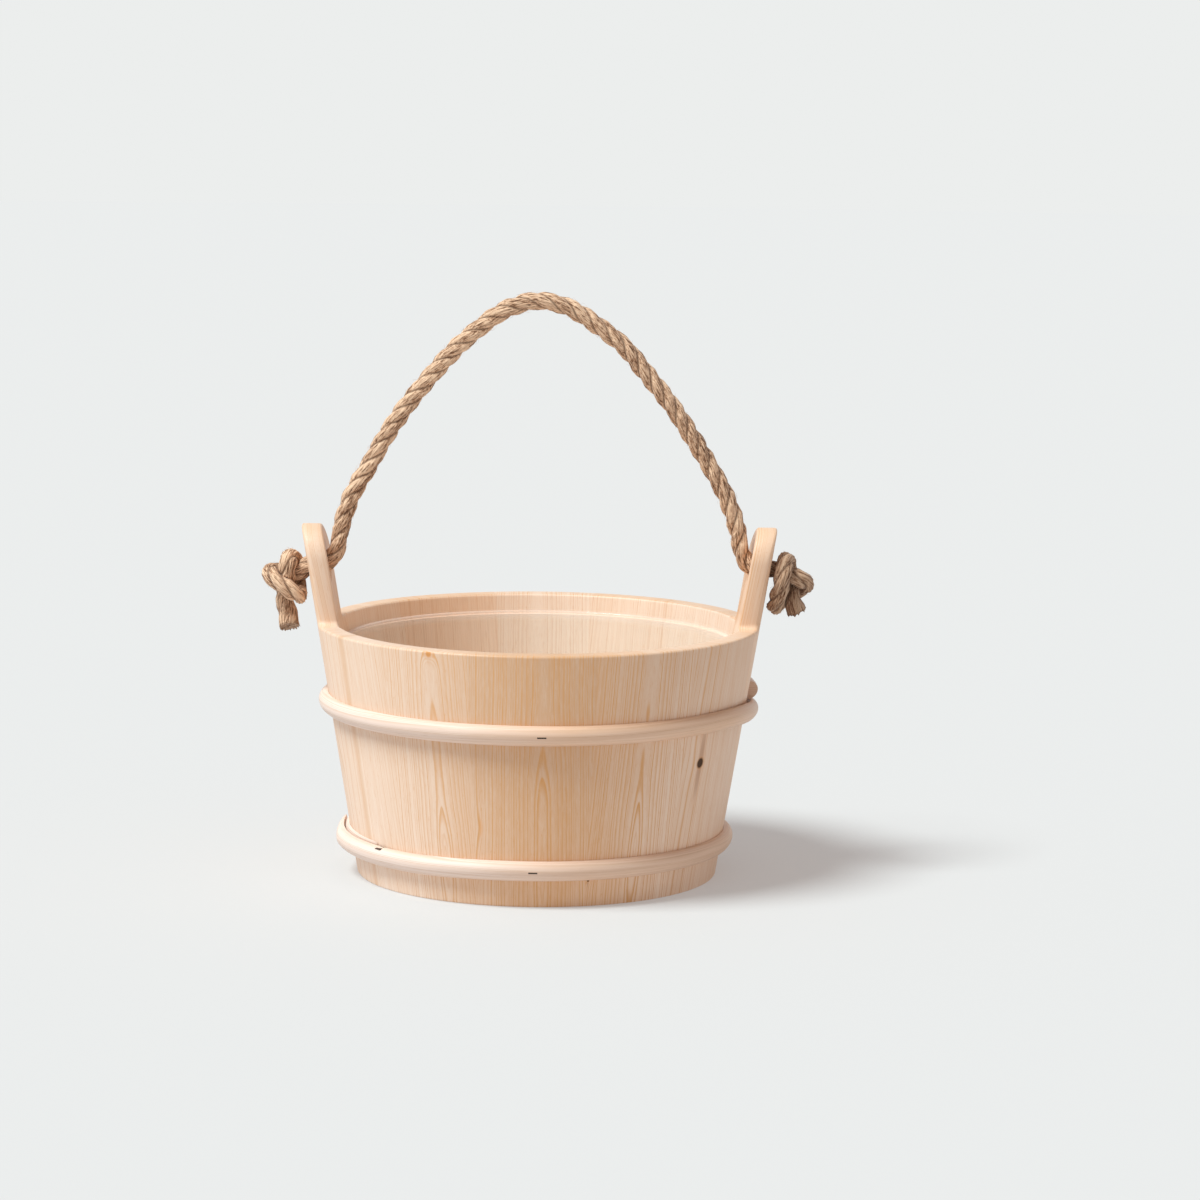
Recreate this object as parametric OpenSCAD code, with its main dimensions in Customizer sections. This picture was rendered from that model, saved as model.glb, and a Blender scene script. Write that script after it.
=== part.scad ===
// Sauna bucket: glued pine staves, two lapped half-round hoops, a clear liner and a knotted rope handle.
// The origin is the centre of the foot, +Z is up, the ears are on X and the front faces -Y.

/* [Staves] */
// Outer diameter at the rim
rim_d = 264; // [260:1:268]
// Outer diameter at the foot
foot_d = 215; // [211:1:219]
// Height of the plain staves
body_h = 150; // [148:1:153]
// Wall thickness at the rim
wall_t = 12; // [11:0.5:13]
// Width of the ledge inside the wall that carries the liner
ledge_w = 2.5; // [2:0.5:3]
// Depth of that ledge below the rim
ledge_depth = 12; // [10:1:14]
// Rounding of the rim and foot edges
edge_r = 1.5; // [0.5:0.5:2]

/* [Ears] */
// Height of each ear above the rim
ear_h = 58; // [54:1:60]
// Width of each ear, which ends in a half circle
ear_w = 40; // [38:1:44]
// Fillet where the ear rises from the rim
ear_fillet_r = 3; // [3:1:6]
// Height of the rope hole above the rim
hole_up = 34; // [32:1:36]
// Diameter of the rope hole
hole_d = 14; // [14:0.5:16]
// Depth of the flare at the inner mouth of the rope hole
mouth_depth = 3; // [2:0.5:4]

/* [Base] */
// Height of the base's underside above the foot
base_up = 12; // [10:1:14]
// Thickness of the base boards
base_t = 12; // [10:1:13]
// Depth of the groove in the staves that holds the base
groove_depth = 5; // [4:0.5:6]
// Width of the middle base board
middle_board_w = 70; // [60:1:80]

/* [Hoops] */
// Height of the half-round hoop section
hoop_h = 12; // [11:0.5:13]
// Thickness of the hoop section
hoop_t = 6.4; // [5.5:0.1:7]
// Height of the upper hoop's middle above the foot
upper_hoop_z = 103; // [98:1:108]
// Height of the lower hoop's middle above the foot
lower_hoop_z = 22; // [20:1:25]

/* [Staples] */
// Width of a staple's crown
crown_w = 6; // [5:0.5:8]
// Length of a staple's legs
leg_length = 12; // [10:1:13]
// Width of the staple wire
wire_w = 1.2; // [1:0.1:1.4]
// Thickness of the staple wire
wire_t = 0.8; // [0.6:0.1:1]

/* [Liner] */
// Thickness of the liner's wall and floor
liner_t = 1.6; // [1.2:0.1:2]
// Thickness of the liner's lip
lip_t = 2; // [1.6:0.2:2.4]
// Rounding between the liner's wall and floor
liner_corner_r = 8; // [5:1:12]

/* [Rope] */
// Diameter of the rope
rope_d = 11; // [10:0.5:11]
// Diameter of the rope where it is drawn tight in a knot
knot_rope_d = 8.4; // [8:0.1:8.4]

/* [Hidden] */
$fn = 96;

// Staves as name, first edge and last edge, in degrees from the front towards the right ear
PLAIN_STAVES = [
    ["stave_front_1", -75, -43],
    ["stave_front_2", -43, -18],
    ["stave_front_3", -18, 15],
    ["stave_front_4", 15, 44],
    ["stave_front_5", 44, 75],
    ["stave_back_1", 105, 136],
    ["stave_back_2", 136, 164],
    ["stave_back_3", 164, 193],
    ["stave_back_4", 193, 226],
    ["stave_back_5", 226, 255],
];
EAR_HALF_ANGLE = 15;

// Derived heights and the flare of the wall
flare = (rim_d - foot_d) / 2 / body_h;
ledge_z = body_h - ledge_depth;
ear_top = body_h + ear_h;
hole_z = body_h + hole_up;
base_top = base_up + base_t;
fit_gap = 0.2;

function outer_r(z) = foot_d / 2 + flare * z;
function inner_r(z) = outer_r(z) - wall_t;
function lower_inner_r(z) = inner_r(z) - ledge_w;
groove_r = lower_inner_r(base_up) + groove_depth;

// The liner hangs clear of the staves
liner_gap = 0.8;
lip_gap = 0.3;
lip_z = ledge_z + lip_gap;
liner_floor_z = base_top + 1;
function liner_r(z) = lower_inner_r(z) - liner_gap;

// The hoops follow the wall in short steps, and their ends are laid over each other
hoop_gap = 0.15;
hoop_step = 4;
hoop_section_steps = 8;
hoop_start_share = [0.4, 0.6];
hoop_climb_angle = 45;

// Staples as angle from the front, height above the hoop's middle and distance of the crown from the wall
UPPER_STAPLES = [[1, 0, 6.1], [84, -5.5, 8.3], [180, 1, 6.1], [-90, 0, 6.1]];
LOWER_STAPLES = [[-1, 0, 6.1], [-53, 4, 3], [90, 0, 6.1], [180, 0, 6.1]];

// Rope from hole to hole as X and height above the holes
ROPE_ROUTE = [
    [-133, 0], [-129.5, 0], [-124.5, 1.5], [-120, 6], [-117.5, 13], [-115.5, 23], [-110.5, 41],
    [-101.5, 59], [-91.5, 77], [-79.5, 95], [-65, 113], [-48.5, 131], [-28, 148], [-15.5, 154.5],
    [-3, 157.5], [11, 155.5], [24, 149.5], [47.5, 132.5], [62.5, 115], [77, 97], [89, 79],
    [99.5, 61], [108.5, 43], [114.5, 25], [117, 14], [120, 6.5], [124.5, 1.5], [129.5, 0], [133, 0],
];
rope_sides = 10;

// Overhand knot from the hole outwards, as distance out, forward and up from the knot's heart
KNOT_ROUTE = [
    [-17.5, 0, 10], [-13, 0, 10], [-6.5, -1, 9], [0, -6, 8], [6.5, -6.5, 6.5], [11, -1, 2.5],
    [8, 6, -2], [0.5, 8.5, -6.5], [-6.5, 5, -10], [-8, -5, -9.5], [-6.5, -11.5, -1.5], [-5, -14.5, 7],
    [-3.5, -11.5, 15], [-1.5, -3, 18], [-0.5, 4.5, 13], [0, 5, 5], [0.5, -2.5, -3.5], [1.5, -7, -11.5],
];
LEFT_TAIL = [[-0.5, -5, -20], [-2.5, 0, -28]];
RIGHT_TAIL = [[3.5, -5.5, -17.5]];
knot_heart_x = 151;
knot_heart_drop = 10;
knot_steps = 2;

// Points of an arc about a centre
function arc(centre, r, from, to, steps) =
    [for (i = [0 : steps]) let (a = from + (to - from) * i / steps) centre + r * [cos(a), sin(a)]];

function unit(v) = v / norm(v);

// Point on the curve through four neighbouring route points
function curve_point(a, b, c, d, t) =
    0.5 * (2 * b + (c - a) * t + (2 * a - 5 * b + 4 * c - d) * t * t + (3 * b - a - 3 * c + d) * t * t * t);

function smooth_route(p, steps) =
    let (n = len(p), q = concat([2 * p[0] - p[1]], p, [2 * p[n - 1] - p[n - 2]]))
    concat(
        [
            for (i = [1 : n - 1])
                for (j = [0 : steps - 1])
                    curve_point(q[i - 1], q[i], q[i + 1], q[i + 2], j / steps)
        ],
        [p[n - 1]]
    );

function tangents(p) =
    let (last = len(p) - 1)
    [for (i = [0 : last]) unit(p[min(i + 1, last)] - p[max(i - 1, 0)])];

// Side directions that turn as little as possible from ring to ring
function side_directions(t, first) =
    [for (i = 0, u = first; i < len(t); i = i + 1, u = i < len(t) ? unit(u - (u * t[i]) * t[i]) : u) u];

// Least gap between parts of a tube that are at least the given number of points apart
function self_gap(route, d, apart) =
    let (last = len(route) - 1)
    min([for (i = [0 : last - apart]) for (j = [i + apart : last]) norm(route[i] - route[j])]) - d;

// Triangles that join rings of m points in order, with both ends closed
function ring_faces(rings, m) = concat(
    [for (i = [0 : rings - 2]) for (j = [0 : m - 1]) [i * m + j, (i + 1) * m + j, i * m + (j + 1) % m]],
    [for (i = [0 : rings - 2]) for (j = [0 : m - 1])
        [(i + 1) * m + j, (i + 1) * m + (j + 1) % m, i * m + (j + 1) % m]],
    [for (j = [1 : m - 2]) [0, j, j + 1]],
    [for (j = [1 : m - 2]) [(rings - 1) * m, (rings - 1) * m + j + 1, (rings - 1) * m + j]]
);

module tube(route, d) {
    t = tangents(route);
    u = side_directions(t, [0, 1, 0]);
    points = [
        for (i = [0 : len(route) - 1])
            for (j = [0 : rope_sides - 1])
                let (a = 360 * j / rope_sides)
                route[i] + d / 2 * (cos(a) * u[i] + sin(a) * cross(t[i], u[i]))
    ];
    polyhedron(points, ring_faces(len(route), rope_sides), convexity = 8);
}

// Section of the wall, up to the given height
module wall_profile(top) {
    polygon(concat(
        [[lower_inner_r(0), 0]],
        arc([outer_r(edge_r) - edge_r, edge_r], edge_r, -90, 0, 4),
        arc([outer_r(top - edge_r) - edge_r, top - edge_r], edge_r, 0, 90, 4),
        arc([inner_r(top - edge_r) + edge_r, top - edge_r], edge_r, 90, 180, 4),
        [[inner_r(ledge_z), ledge_z], [lower_inner_r(ledge_z), ledge_z]],
        [[lower_inner_r(base_top), base_top], [groove_r, base_top]],
        [[groove_r, base_up], [lower_inner_r(base_up), base_up]]
    ));
}

// Wall between two angles measured from the front
module wall_piece(from, to, top) {
    rotate([0, 0, from - 90])
        rotate_extrude(angle = to - from)
            wall_profile(top);
}

module plain_stave(from, to) {
    color("BurlyWood") wall_piece(from, to, body_h);
}

// Outline of the ear stave seen along X, with the ear's half-circle top and fillets
module ear_outline() {
    overlap = 1;
    translate([-rim_d / 4, -overlap])
        square([rim_d / 2, body_h + overlap]);
    translate([-ear_w / 2, body_h - overlap])
        square([ear_w, ear_h - ear_w / 2 + overlap]);
    translate([0, ear_top - ear_w / 2])
        circle(d = ear_w);
    for (side = [0, 1])
        mirror([side, 0])
            difference() {
                translate([ear_w / 2 - overlap, body_h - overlap])
                    square(ear_fillet_r + overlap);
                translate([ear_w / 2 + ear_fillet_r, body_h + ear_fillet_r])
                    circle(r = ear_fillet_r);
            }
}

// Rope hole along X, flared where the rope bends upwards
module rope_hole() {
    reach = wall_t * 2;
    inner_x = inner_r(hole_z);
    translate([inner_x - reach / 2, 0, hole_z])
        rotate([0, 90, 0])
            cylinder(d = hole_d, h = reach * 2);
    translate([inner_x - mouth_depth, 0, hole_z])
        rotate([0, 90, 0])
            cylinder(d1 = hole_d + 4 * mouth_depth, d2 = hole_d, h = 2 * mouth_depth);
}

module ear_stave() {
    color("BurlyWood")
        difference() {
            intersection() {
                wall_piece(90 - EAR_HALF_ANGLE, 90 + EAR_HALF_ANGLE, ear_top + edge_r);
                rotate([90, 0, 90])
                    linear_extrude(height = rim_d)
                        ear_outline();
            }
            rope_hole();
        }
}

module ear_stave_right() {
    ear_stave();
}

module ear_stave_left() {
    rotate([0, 0, 180]) ear_stave();
}

// Board of the base between two X positions
module base_board(from_x, to_x) {
    color("Tan")
        intersection() {
            translate([0, 0, base_up + fit_gap / 2])
                cylinder(r = groove_r - fit_gap, h = base_t - fit_gap);
            translate([from_x, -rim_d / 2, 0])
                cube([to_x - from_x, rim_d, body_h]);
        }
}

function ease(t) = let (c = max(0, min(1, t))) c * c * (3 - 2 * c);

function blend(from, to, t) = from + (to - from) * max(0, min(1, t));

// Half-round strip wound once round the wall, with its tail laid over or behind its start.
// start: angle, length of the taper and rise of the tip
// stand_off: distance from the wall at the start and length over which it closes
// sink: depth of the start below the middle and length before it rises
// tail: lift above the middle, length of the taper, and shares of thickness and height at the tip
module hoop(middle, direction, lap, start, stand_off, sink, tail) {
    total = 360 + lap;
    count = ceil(total / hoop_step);
    points = [
        for (i = [0 : count])
            let (
                along = total * (direction > 0 ? i : count - i) / count,
                angle = start[0] + direction * along - 90,
                share = along < 180
                    ? blend(hoop_start_share, [1, 1], along / start[1])
                    : blend([1, 1], [tail[2], tail[3]], 1 - (total - along) / tail[1]),
                high = along < 180
                    ? blend(start[2], 0, along / start[1])
                    : tail[0] * ease((along - 360) / hoop_climb_angle + 1),
                low = sink[0] * (1 - ease((along - sink[1]) / hoop_climb_angle)),
                out = hoop_gap + blend(stand_off[0], 0, along / stand_off[1])
            )
            for (j = [0 : hoop_section_steps])
                let (
                    turn = 180 * j / hoop_section_steps,
                    z = middle - low + high + hoop_h / 2 * share[1] * cos(turn),
                    r = outer_r(z) + out + hoop_t * share[0] * sin(turn)
                )
                [r * cos(angle), r * sin(angle), z]
    ];
    color("Wheat") polyhedron(points, ring_faces(count + 1, hoop_section_steps + 1), convexity = 8);
}

module hoop_upper() {
    hoop(upper_hoop_z, direction = -1, lap = 20, start = [110, 35, 0], stand_off = [3.8, 68],
        sink = [3.7, 10], tail = [6.9, 20, 0.9, 0.93]);
}

module hoop_lower() {
    hoop(lower_hoop_z, direction = 1, lap = 44, start = [-100, 18, 4], stand_off = [4.7, 54],
        sink = [1.5, 50], tail = [2.5, 74, 0.05, 0.6]);
}

// Staples driven through a hoop into the staves
module staples(middle, places) {
    color("DimGray")
        for (place = places)
            let (z = middle + place[1])
            rotate([0, 0, place[0] - 90])
                translate([outer_r(z) + place[2], 0, z]) {
                    translate([-wire_t, -crown_w / 2, -wire_w / 2])
                        cube([wire_t, crown_w, wire_w]);
                    for (side = [-1, 1])
                        translate([-leg_length, side * (crown_w - wire_t) / 2 - wire_t / 2, -wire_w / 2])
                            cube([leg_length, wire_t, wire_w]);
                }
}

// Clear cup that hangs by its lip on the ledge
module liner() {
    lip_r = inner_r(ledge_z) - liner_gap / 2;
    lip_top = lip_z + lip_t;
    floor_r = liner_r(liner_floor_z);
    color("MistyRose", 0.4)
        rotate_extrude()
            polygon(concat(
                [[0, liner_floor_z]],
                arc([floor_r - liner_corner_r, liner_floor_z + liner_corner_r], liner_corner_r, -90, 0, 6),
                [[liner_r(lip_z), lip_z], [lip_r, lip_z]],
                arc([lip_r - lip_t / 2, lip_z + lip_t / 2], lip_t / 2, 0, 90, 4),
                arc([liner_r(lip_top) - liner_t + lip_t / 2, lip_top - lip_t / 2], lip_t / 2, 90, 180, 4),
                arc(
                    [floor_r - liner_corner_r, liner_floor_z + liner_corner_r],
                    liner_corner_r - liner_t, 0, -90, 6
                ),
                [[0, liner_floor_z + liner_t]]
            ));
}

module rope_handle() {
    color("Peru") tube([for (p = ROPE_ROUTE) [p[0], 0, hole_z + p[1]]], rope_d);
}

// Knot on the left end of the rope, with its own tail
module rope_knot(tail) {
    route = [
        for (p = smooth_route(concat(KNOT_ROUTE, tail), knot_steps))
            [-knot_heart_x - p[0], -p[1], hole_z - knot_heart_drop + p[2]]
    ];
    color("Peru") tube(route, knot_rope_d);
}

module rope_knot_left() {
    rope_knot(LEFT_TAIL);
}

module rope_knot_right() {
    rotate([0, 0, 180]) rope_knot(RIGHT_TAIL);
}

for (tail = [LEFT_TAIL, RIGHT_TAIL])
    let (route = smooth_route(concat(KNOT_ROUTE, tail), 8))
    echo("least gap of a knot to itself", self_gap(route, knot_rope_d, 20));

for (stave = PLAIN_STAVES)
    plain_stave(stave[1], stave[2]);
ear_stave_left();
ear_stave_right();
base_board(-rim_d / 2, -middle_board_w / 2);  // base_board_left
base_board(-middle_board_w / 2, middle_board_w / 2);  // base_board_middle
base_board(middle_board_w / 2, rim_d / 2);  // base_board_right
hoop_upper();
hoop_lower();
staples(upper_hoop_z, UPPER_STAPLES);  // staples_upper_hoop
staples(lower_hoop_z, LOWER_STAPLES);  // staples_lower_hoop
liner();
rope_handle();
rope_knot_left();
rope_knot_right();
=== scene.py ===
"""Sauna bucket of glued pine staves, with half-round hoops, a clear liner and a knotted rope handle.

Sizes are in millimetres, as a cooper writes them, and turn into metres where a mesh gets its place.
Angles round the bucket are in degrees from the front towards the right ear.
"""

import logging
import math
from collections.abc import Callable, Iterator, Sequence
from contextlib import contextmanager
from dataclasses import dataclass, replace
from enum import Enum
from functools import reduce

import bmesh
import bpy
import numpy as np
from mathutils import Matrix, Vector


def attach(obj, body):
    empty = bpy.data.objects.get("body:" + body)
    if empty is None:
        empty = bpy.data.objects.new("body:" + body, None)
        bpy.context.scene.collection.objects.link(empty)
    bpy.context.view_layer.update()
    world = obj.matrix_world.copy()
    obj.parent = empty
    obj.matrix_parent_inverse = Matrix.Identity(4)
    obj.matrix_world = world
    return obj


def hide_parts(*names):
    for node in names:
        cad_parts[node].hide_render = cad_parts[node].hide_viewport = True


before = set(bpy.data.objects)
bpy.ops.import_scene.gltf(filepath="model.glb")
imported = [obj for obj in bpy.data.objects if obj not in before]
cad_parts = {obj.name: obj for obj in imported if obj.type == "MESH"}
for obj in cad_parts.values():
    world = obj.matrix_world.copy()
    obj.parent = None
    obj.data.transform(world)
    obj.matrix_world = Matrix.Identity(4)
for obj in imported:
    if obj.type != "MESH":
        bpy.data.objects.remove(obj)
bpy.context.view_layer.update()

LOG = logging.getLogger("sauna_bucket")
IMAGE_SIDE = 1200
MM = 0.001
# In metres, what counts as nothing, and as nothing for a corner on an axis
TINY = 1e-6
ON_AXIS = 1e-7
# The share of a face's normal from which the face looks along an axis
FACING = 0.9
# Angles in degrees below which faces are shaded as one
PLANED_CREASE = 32.0
ROUNDED_CREASE = 40.0
ROPE_CREASE = 60.0
# How far apart along the log two boards were sawn
LOG_APART = 700.0
NOISE_MIDDLE = 0.5
Colour = tuple[float, float, float]
Point = tuple[float, float, float]
Pair = tuple[float, float]


class Body(Enum):
    """What a piece moves with."""

    BUCKET = "bucket"
    LINER = "liner"
    HANDLE = "handle"


class Slot(Enum):
    """The record's finish of a piece."""

    STAVES = "stave_wood"
    BASE = "base_wood"
    HOOPS = "hoop_wood"
    STAPLES = "staple_steel"
    LINER = "liner_plastic"
    ROPE = "rope_fibre"


class Part(Enum):
    """What is picked on a mesh in edit mode."""

    EDGES = "EDGE"
    FACES = "FACE"


class Side(Enum):
    """Which end of the handle a piece belongs to, as the sign of its X."""

    LEFT = -1
    RIGHT = 1


# Shader nodes


class Field:
    """A value that varies over a surface: one node socket, with arithmetic on it."""

    def __init__(self, tree: "NodeTree", socket: bpy.types.NodeSocket) -> None:
        """Wraps a socket of a node tree."""
        self.tree = tree
        self.socket = socket

    def maths(self, operation: str, *values: "Field | float") -> "Field":
        """Adds a Math node.

        Args:
            operation: Blender's name of the operation.
            values: The inputs in order.

        Returns:
            The result.
        """
        node = self.tree.add("ShaderNodeMath", {"operation": operation}, dict(enumerate(values)))
        return Field(self.tree, node.outputs[0])

    def __add__(self, other: "Field | float") -> "Field":
        """The sum."""
        return self.maths("ADD", self, other)

    def __radd__(self, other: float) -> "Field":
        """The sum with a number in front."""
        return self.maths("ADD", other, self)

    def __sub__(self, other: "Field | float") -> "Field":
        """The difference."""
        return self.maths("SUBTRACT", self, other)

    def __rsub__(self, other: float) -> "Field":
        """The difference from a number."""
        return self.maths("SUBTRACT", other, self)

    def __mul__(self, other: "Field | float") -> "Field":
        """The product."""
        return self.maths("MULTIPLY", self, other)

    def __rmul__(self, other: float) -> "Field":
        """The product with a number in front."""
        return self.maths("MULTIPLY", other, self)

    def __truediv__(self, other: "Field | float") -> "Field":
        """The quotient."""
        return self.maths("DIVIDE", self, other)

    def __rtruediv__(self, other: float) -> "Field":
        """The quotient with a number in front."""
        return self.maths("DIVIDE", other, self)

    def __pow__(self, power: float) -> "Field":
        """The value raised to a power."""
        return self.maths("POWER", self, power)

    def __abs__(self) -> "Field":
        """The size without the sign."""
        return self.maths("ABSOLUTE", self)

    def root(self) -> "Field":
        """The square root."""
        return self.maths("SQRT", self)

    def share(self) -> "Field":
        """The part after the decimal point."""
        return self.maths("FRACT", self)

    def whole(self) -> "Field":
        """The part before the decimal point."""
        return self.maths("FLOOR", self)

    def at_least(self, other: "Field | float") -> "Field":
        """The larger of two values."""
        return self.maths("MAXIMUM", self, other)

    def swing(self) -> "Field":
        """How far noise is from its middle."""
        return self - NOISE_MIDDLE

    def rise(self, low: float, high: float) -> "Field":
        """A smooth step.

        Args:
            low: Where the step is still 0.
            high: Where it has reached 1.

        Returns:
            The step, from 0 to 1.
        """
        node = self.tree.add(
            "ShaderNodeMapRange",
            {"interpolation_type": "SMOOTHSTEP"},
            {"Value": self, "From Min": low, "From Max": high},
        )
        return Field(self.tree, node.outputs[0])


class NodeTree:
    """The nodes of one finish, or of the light round the bucket."""

    MIX_COLOUR_INPUTS = (6, 7)
    MIX_COLOUR_RESULT = 2

    def __init__(self, owner: bpy.types.Material | bpy.types.World) -> None:
        """Empties a node tree, ready for new nodes.

        Args:
            owner: What the nodes belong to.
        """
        owner.use_nodes = True
        self.owner = owner
        self.nodes = owner.node_tree.nodes
        self.links = owner.node_tree.links
        self.nodes.clear()

    def add(self, kind: str, settings: dict | None = None, sockets: dict | None = None) -> bpy.types.Node:
        """Adds a node.

        Args:
            kind: Blender's type name.
            settings: Properties of the node, set first.
            sockets: A value or link for each input, by name or number.

        Returns:
            The node.
        """
        node = self.nodes.new(kind)
        for name, value in (settings or {}).items():
            setattr(node, name, value)
        for key, value in (sockets or {}).items():
            value = value.socket if isinstance(value, Field) else value
            if isinstance(value, bpy.types.NodeSocket):
                self.links.new(value, node.inputs[key])
            else:
                node.inputs[key].default_value = value
        return node

    def mark(self, name: str) -> bpy.types.NodeSocket:
        """The vector that a piece carries under this name."""
        return self.add("ShaderNodeAttribute", {"attribute_name": name}).outputs["Vector"]

    def number(self, name: str) -> Field:
        """The number that a piece carries under this name."""
        return Field(self, self.add("ShaderNodeAttribute", {"attribute_name": name}).outputs["Fac"])

    def place(self) -> bpy.types.NodeSocket:
        """The place on the piece, in metres."""
        return self.add("ShaderNodeTexCoord").outputs["Object"]

    def split(self, vector: bpy.types.NodeSocket) -> tuple[Field, Field, Field]:
        """The three parts of a vector."""
        node = self.add("ShaderNodeSeparateXYZ", None, {0: vector})
        return tuple(Field(self, part) for part in node.outputs)

    def noise(self, vector: bpy.types.NodeSocket, stretch: Point, detail: float = 2.0,
              roughness: float = 0.5) -> Field:
        """Cloudy noise.

        Args:
            vector: Where it is read.
            stretch: Waves for each unit of the vector, along its three directions.
            detail: How many finer layers are added.
            roughness: How strong the finer layers are.

        Returns:
            The noise, mostly from 0.25 to 0.75.
        """
        scaled = self.add("ShaderNodeVectorMath", {"operation": "MULTIPLY"}, {0: vector, 1: stretch})
        node = self.add(
            "ShaderNodeTexNoise",
            {"noise_dimensions": "3D"},
            {"Vector": scaled.outputs[0], "Scale": 1.0, "Detail": detail, "Roughness": roughness},
        )
        return Field(self, node.outputs["Fac"])

    def noise_along(self, value: Field, detail: float = 1.0) -> Field:
        """Cloudy noise along one value."""
        node = self.add(
            "ShaderNodeTexNoise", {"noise_dimensions": "1D"}, {"W": value, "Scale": 1.0, "Detail": detail}
        )
        return Field(self, node.outputs["Fac"])

    def chance(self, value: Field) -> Field:
        """A number from 0 to 1 that is different for each whole value."""
        node = self.add("ShaderNodeTexWhiteNoise", {"noise_dimensions": "1D"}, {"W": value})
        return Field(self, node.outputs["Value"])

    def mix(self, factor: Field | float, first: Colour | bpy.types.NodeSocket,
            second: Colour | bpy.types.NodeSocket) -> bpy.types.NodeSocket:
        """Mixes two colours.

        Args:
            factor: How much of the second there is.
            first: A colour or a link to one.
            second: The other one.

        Returns:
            The colour.
        """
        sockets = {0: factor}
        for key, value in zip(self.MIX_COLOUR_INPUTS, (first, second)):
            sockets[key] = value if isinstance(value, bpy.types.NodeSocket) else (*value, 1.0)
        node = self.add("ShaderNodeMix", {"data_type": "RGBA", "clamp_factor": True}, sockets)
        return node.outputs[self.MIX_COLOUR_RESULT]

    def rays(self, *kinds: str) -> Field:
        """1 for rays of these kinds, and 0 for all others."""
        path = self.add("ShaderNodeLightPath").outputs
        return reduce(Field.at_least, (Field(self, path[kind]) for kind in kinds))

    def shader(self, kind: str, sockets: dict) -> bpy.types.NodeSocket:
        """The result of a shader node with these values and links."""
        return self.add(kind, None, sockets).outputs[0]

    def bump(self, height: Field, depth: float, strength: float) -> bpy.types.NodeSocket:
        """A normal that makes a height show.

        Args:
            height: The height, from 0 to 1.
            depth: What a height of 1 stands for.
            strength: How much of it shows.

        Returns:
            The normal.
        """
        sockets = {"Height": height, "Distance": depth * MM, "Strength": strength}
        return self.add("ShaderNodeBump", None, sockets).outputs[0]

    def surface(self, shader: bpy.types.NodeSocket) -> bpy.types.Material | bpy.types.World:
        """Ends the tree in a shader.

        Args:
            shader: The shader.

        Returns:
            The owner of the tree.
        """
        is_world = isinstance(self.owner, bpy.types.World)
        kind = "ShaderNodeOutputWorld" if is_world else "ShaderNodeOutputMaterial"
        self.add(kind, None, {"Surface": shader})
        return self.owner


# Finishes


KNOT_MARKS = ("knot_a", "knot_b")


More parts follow.
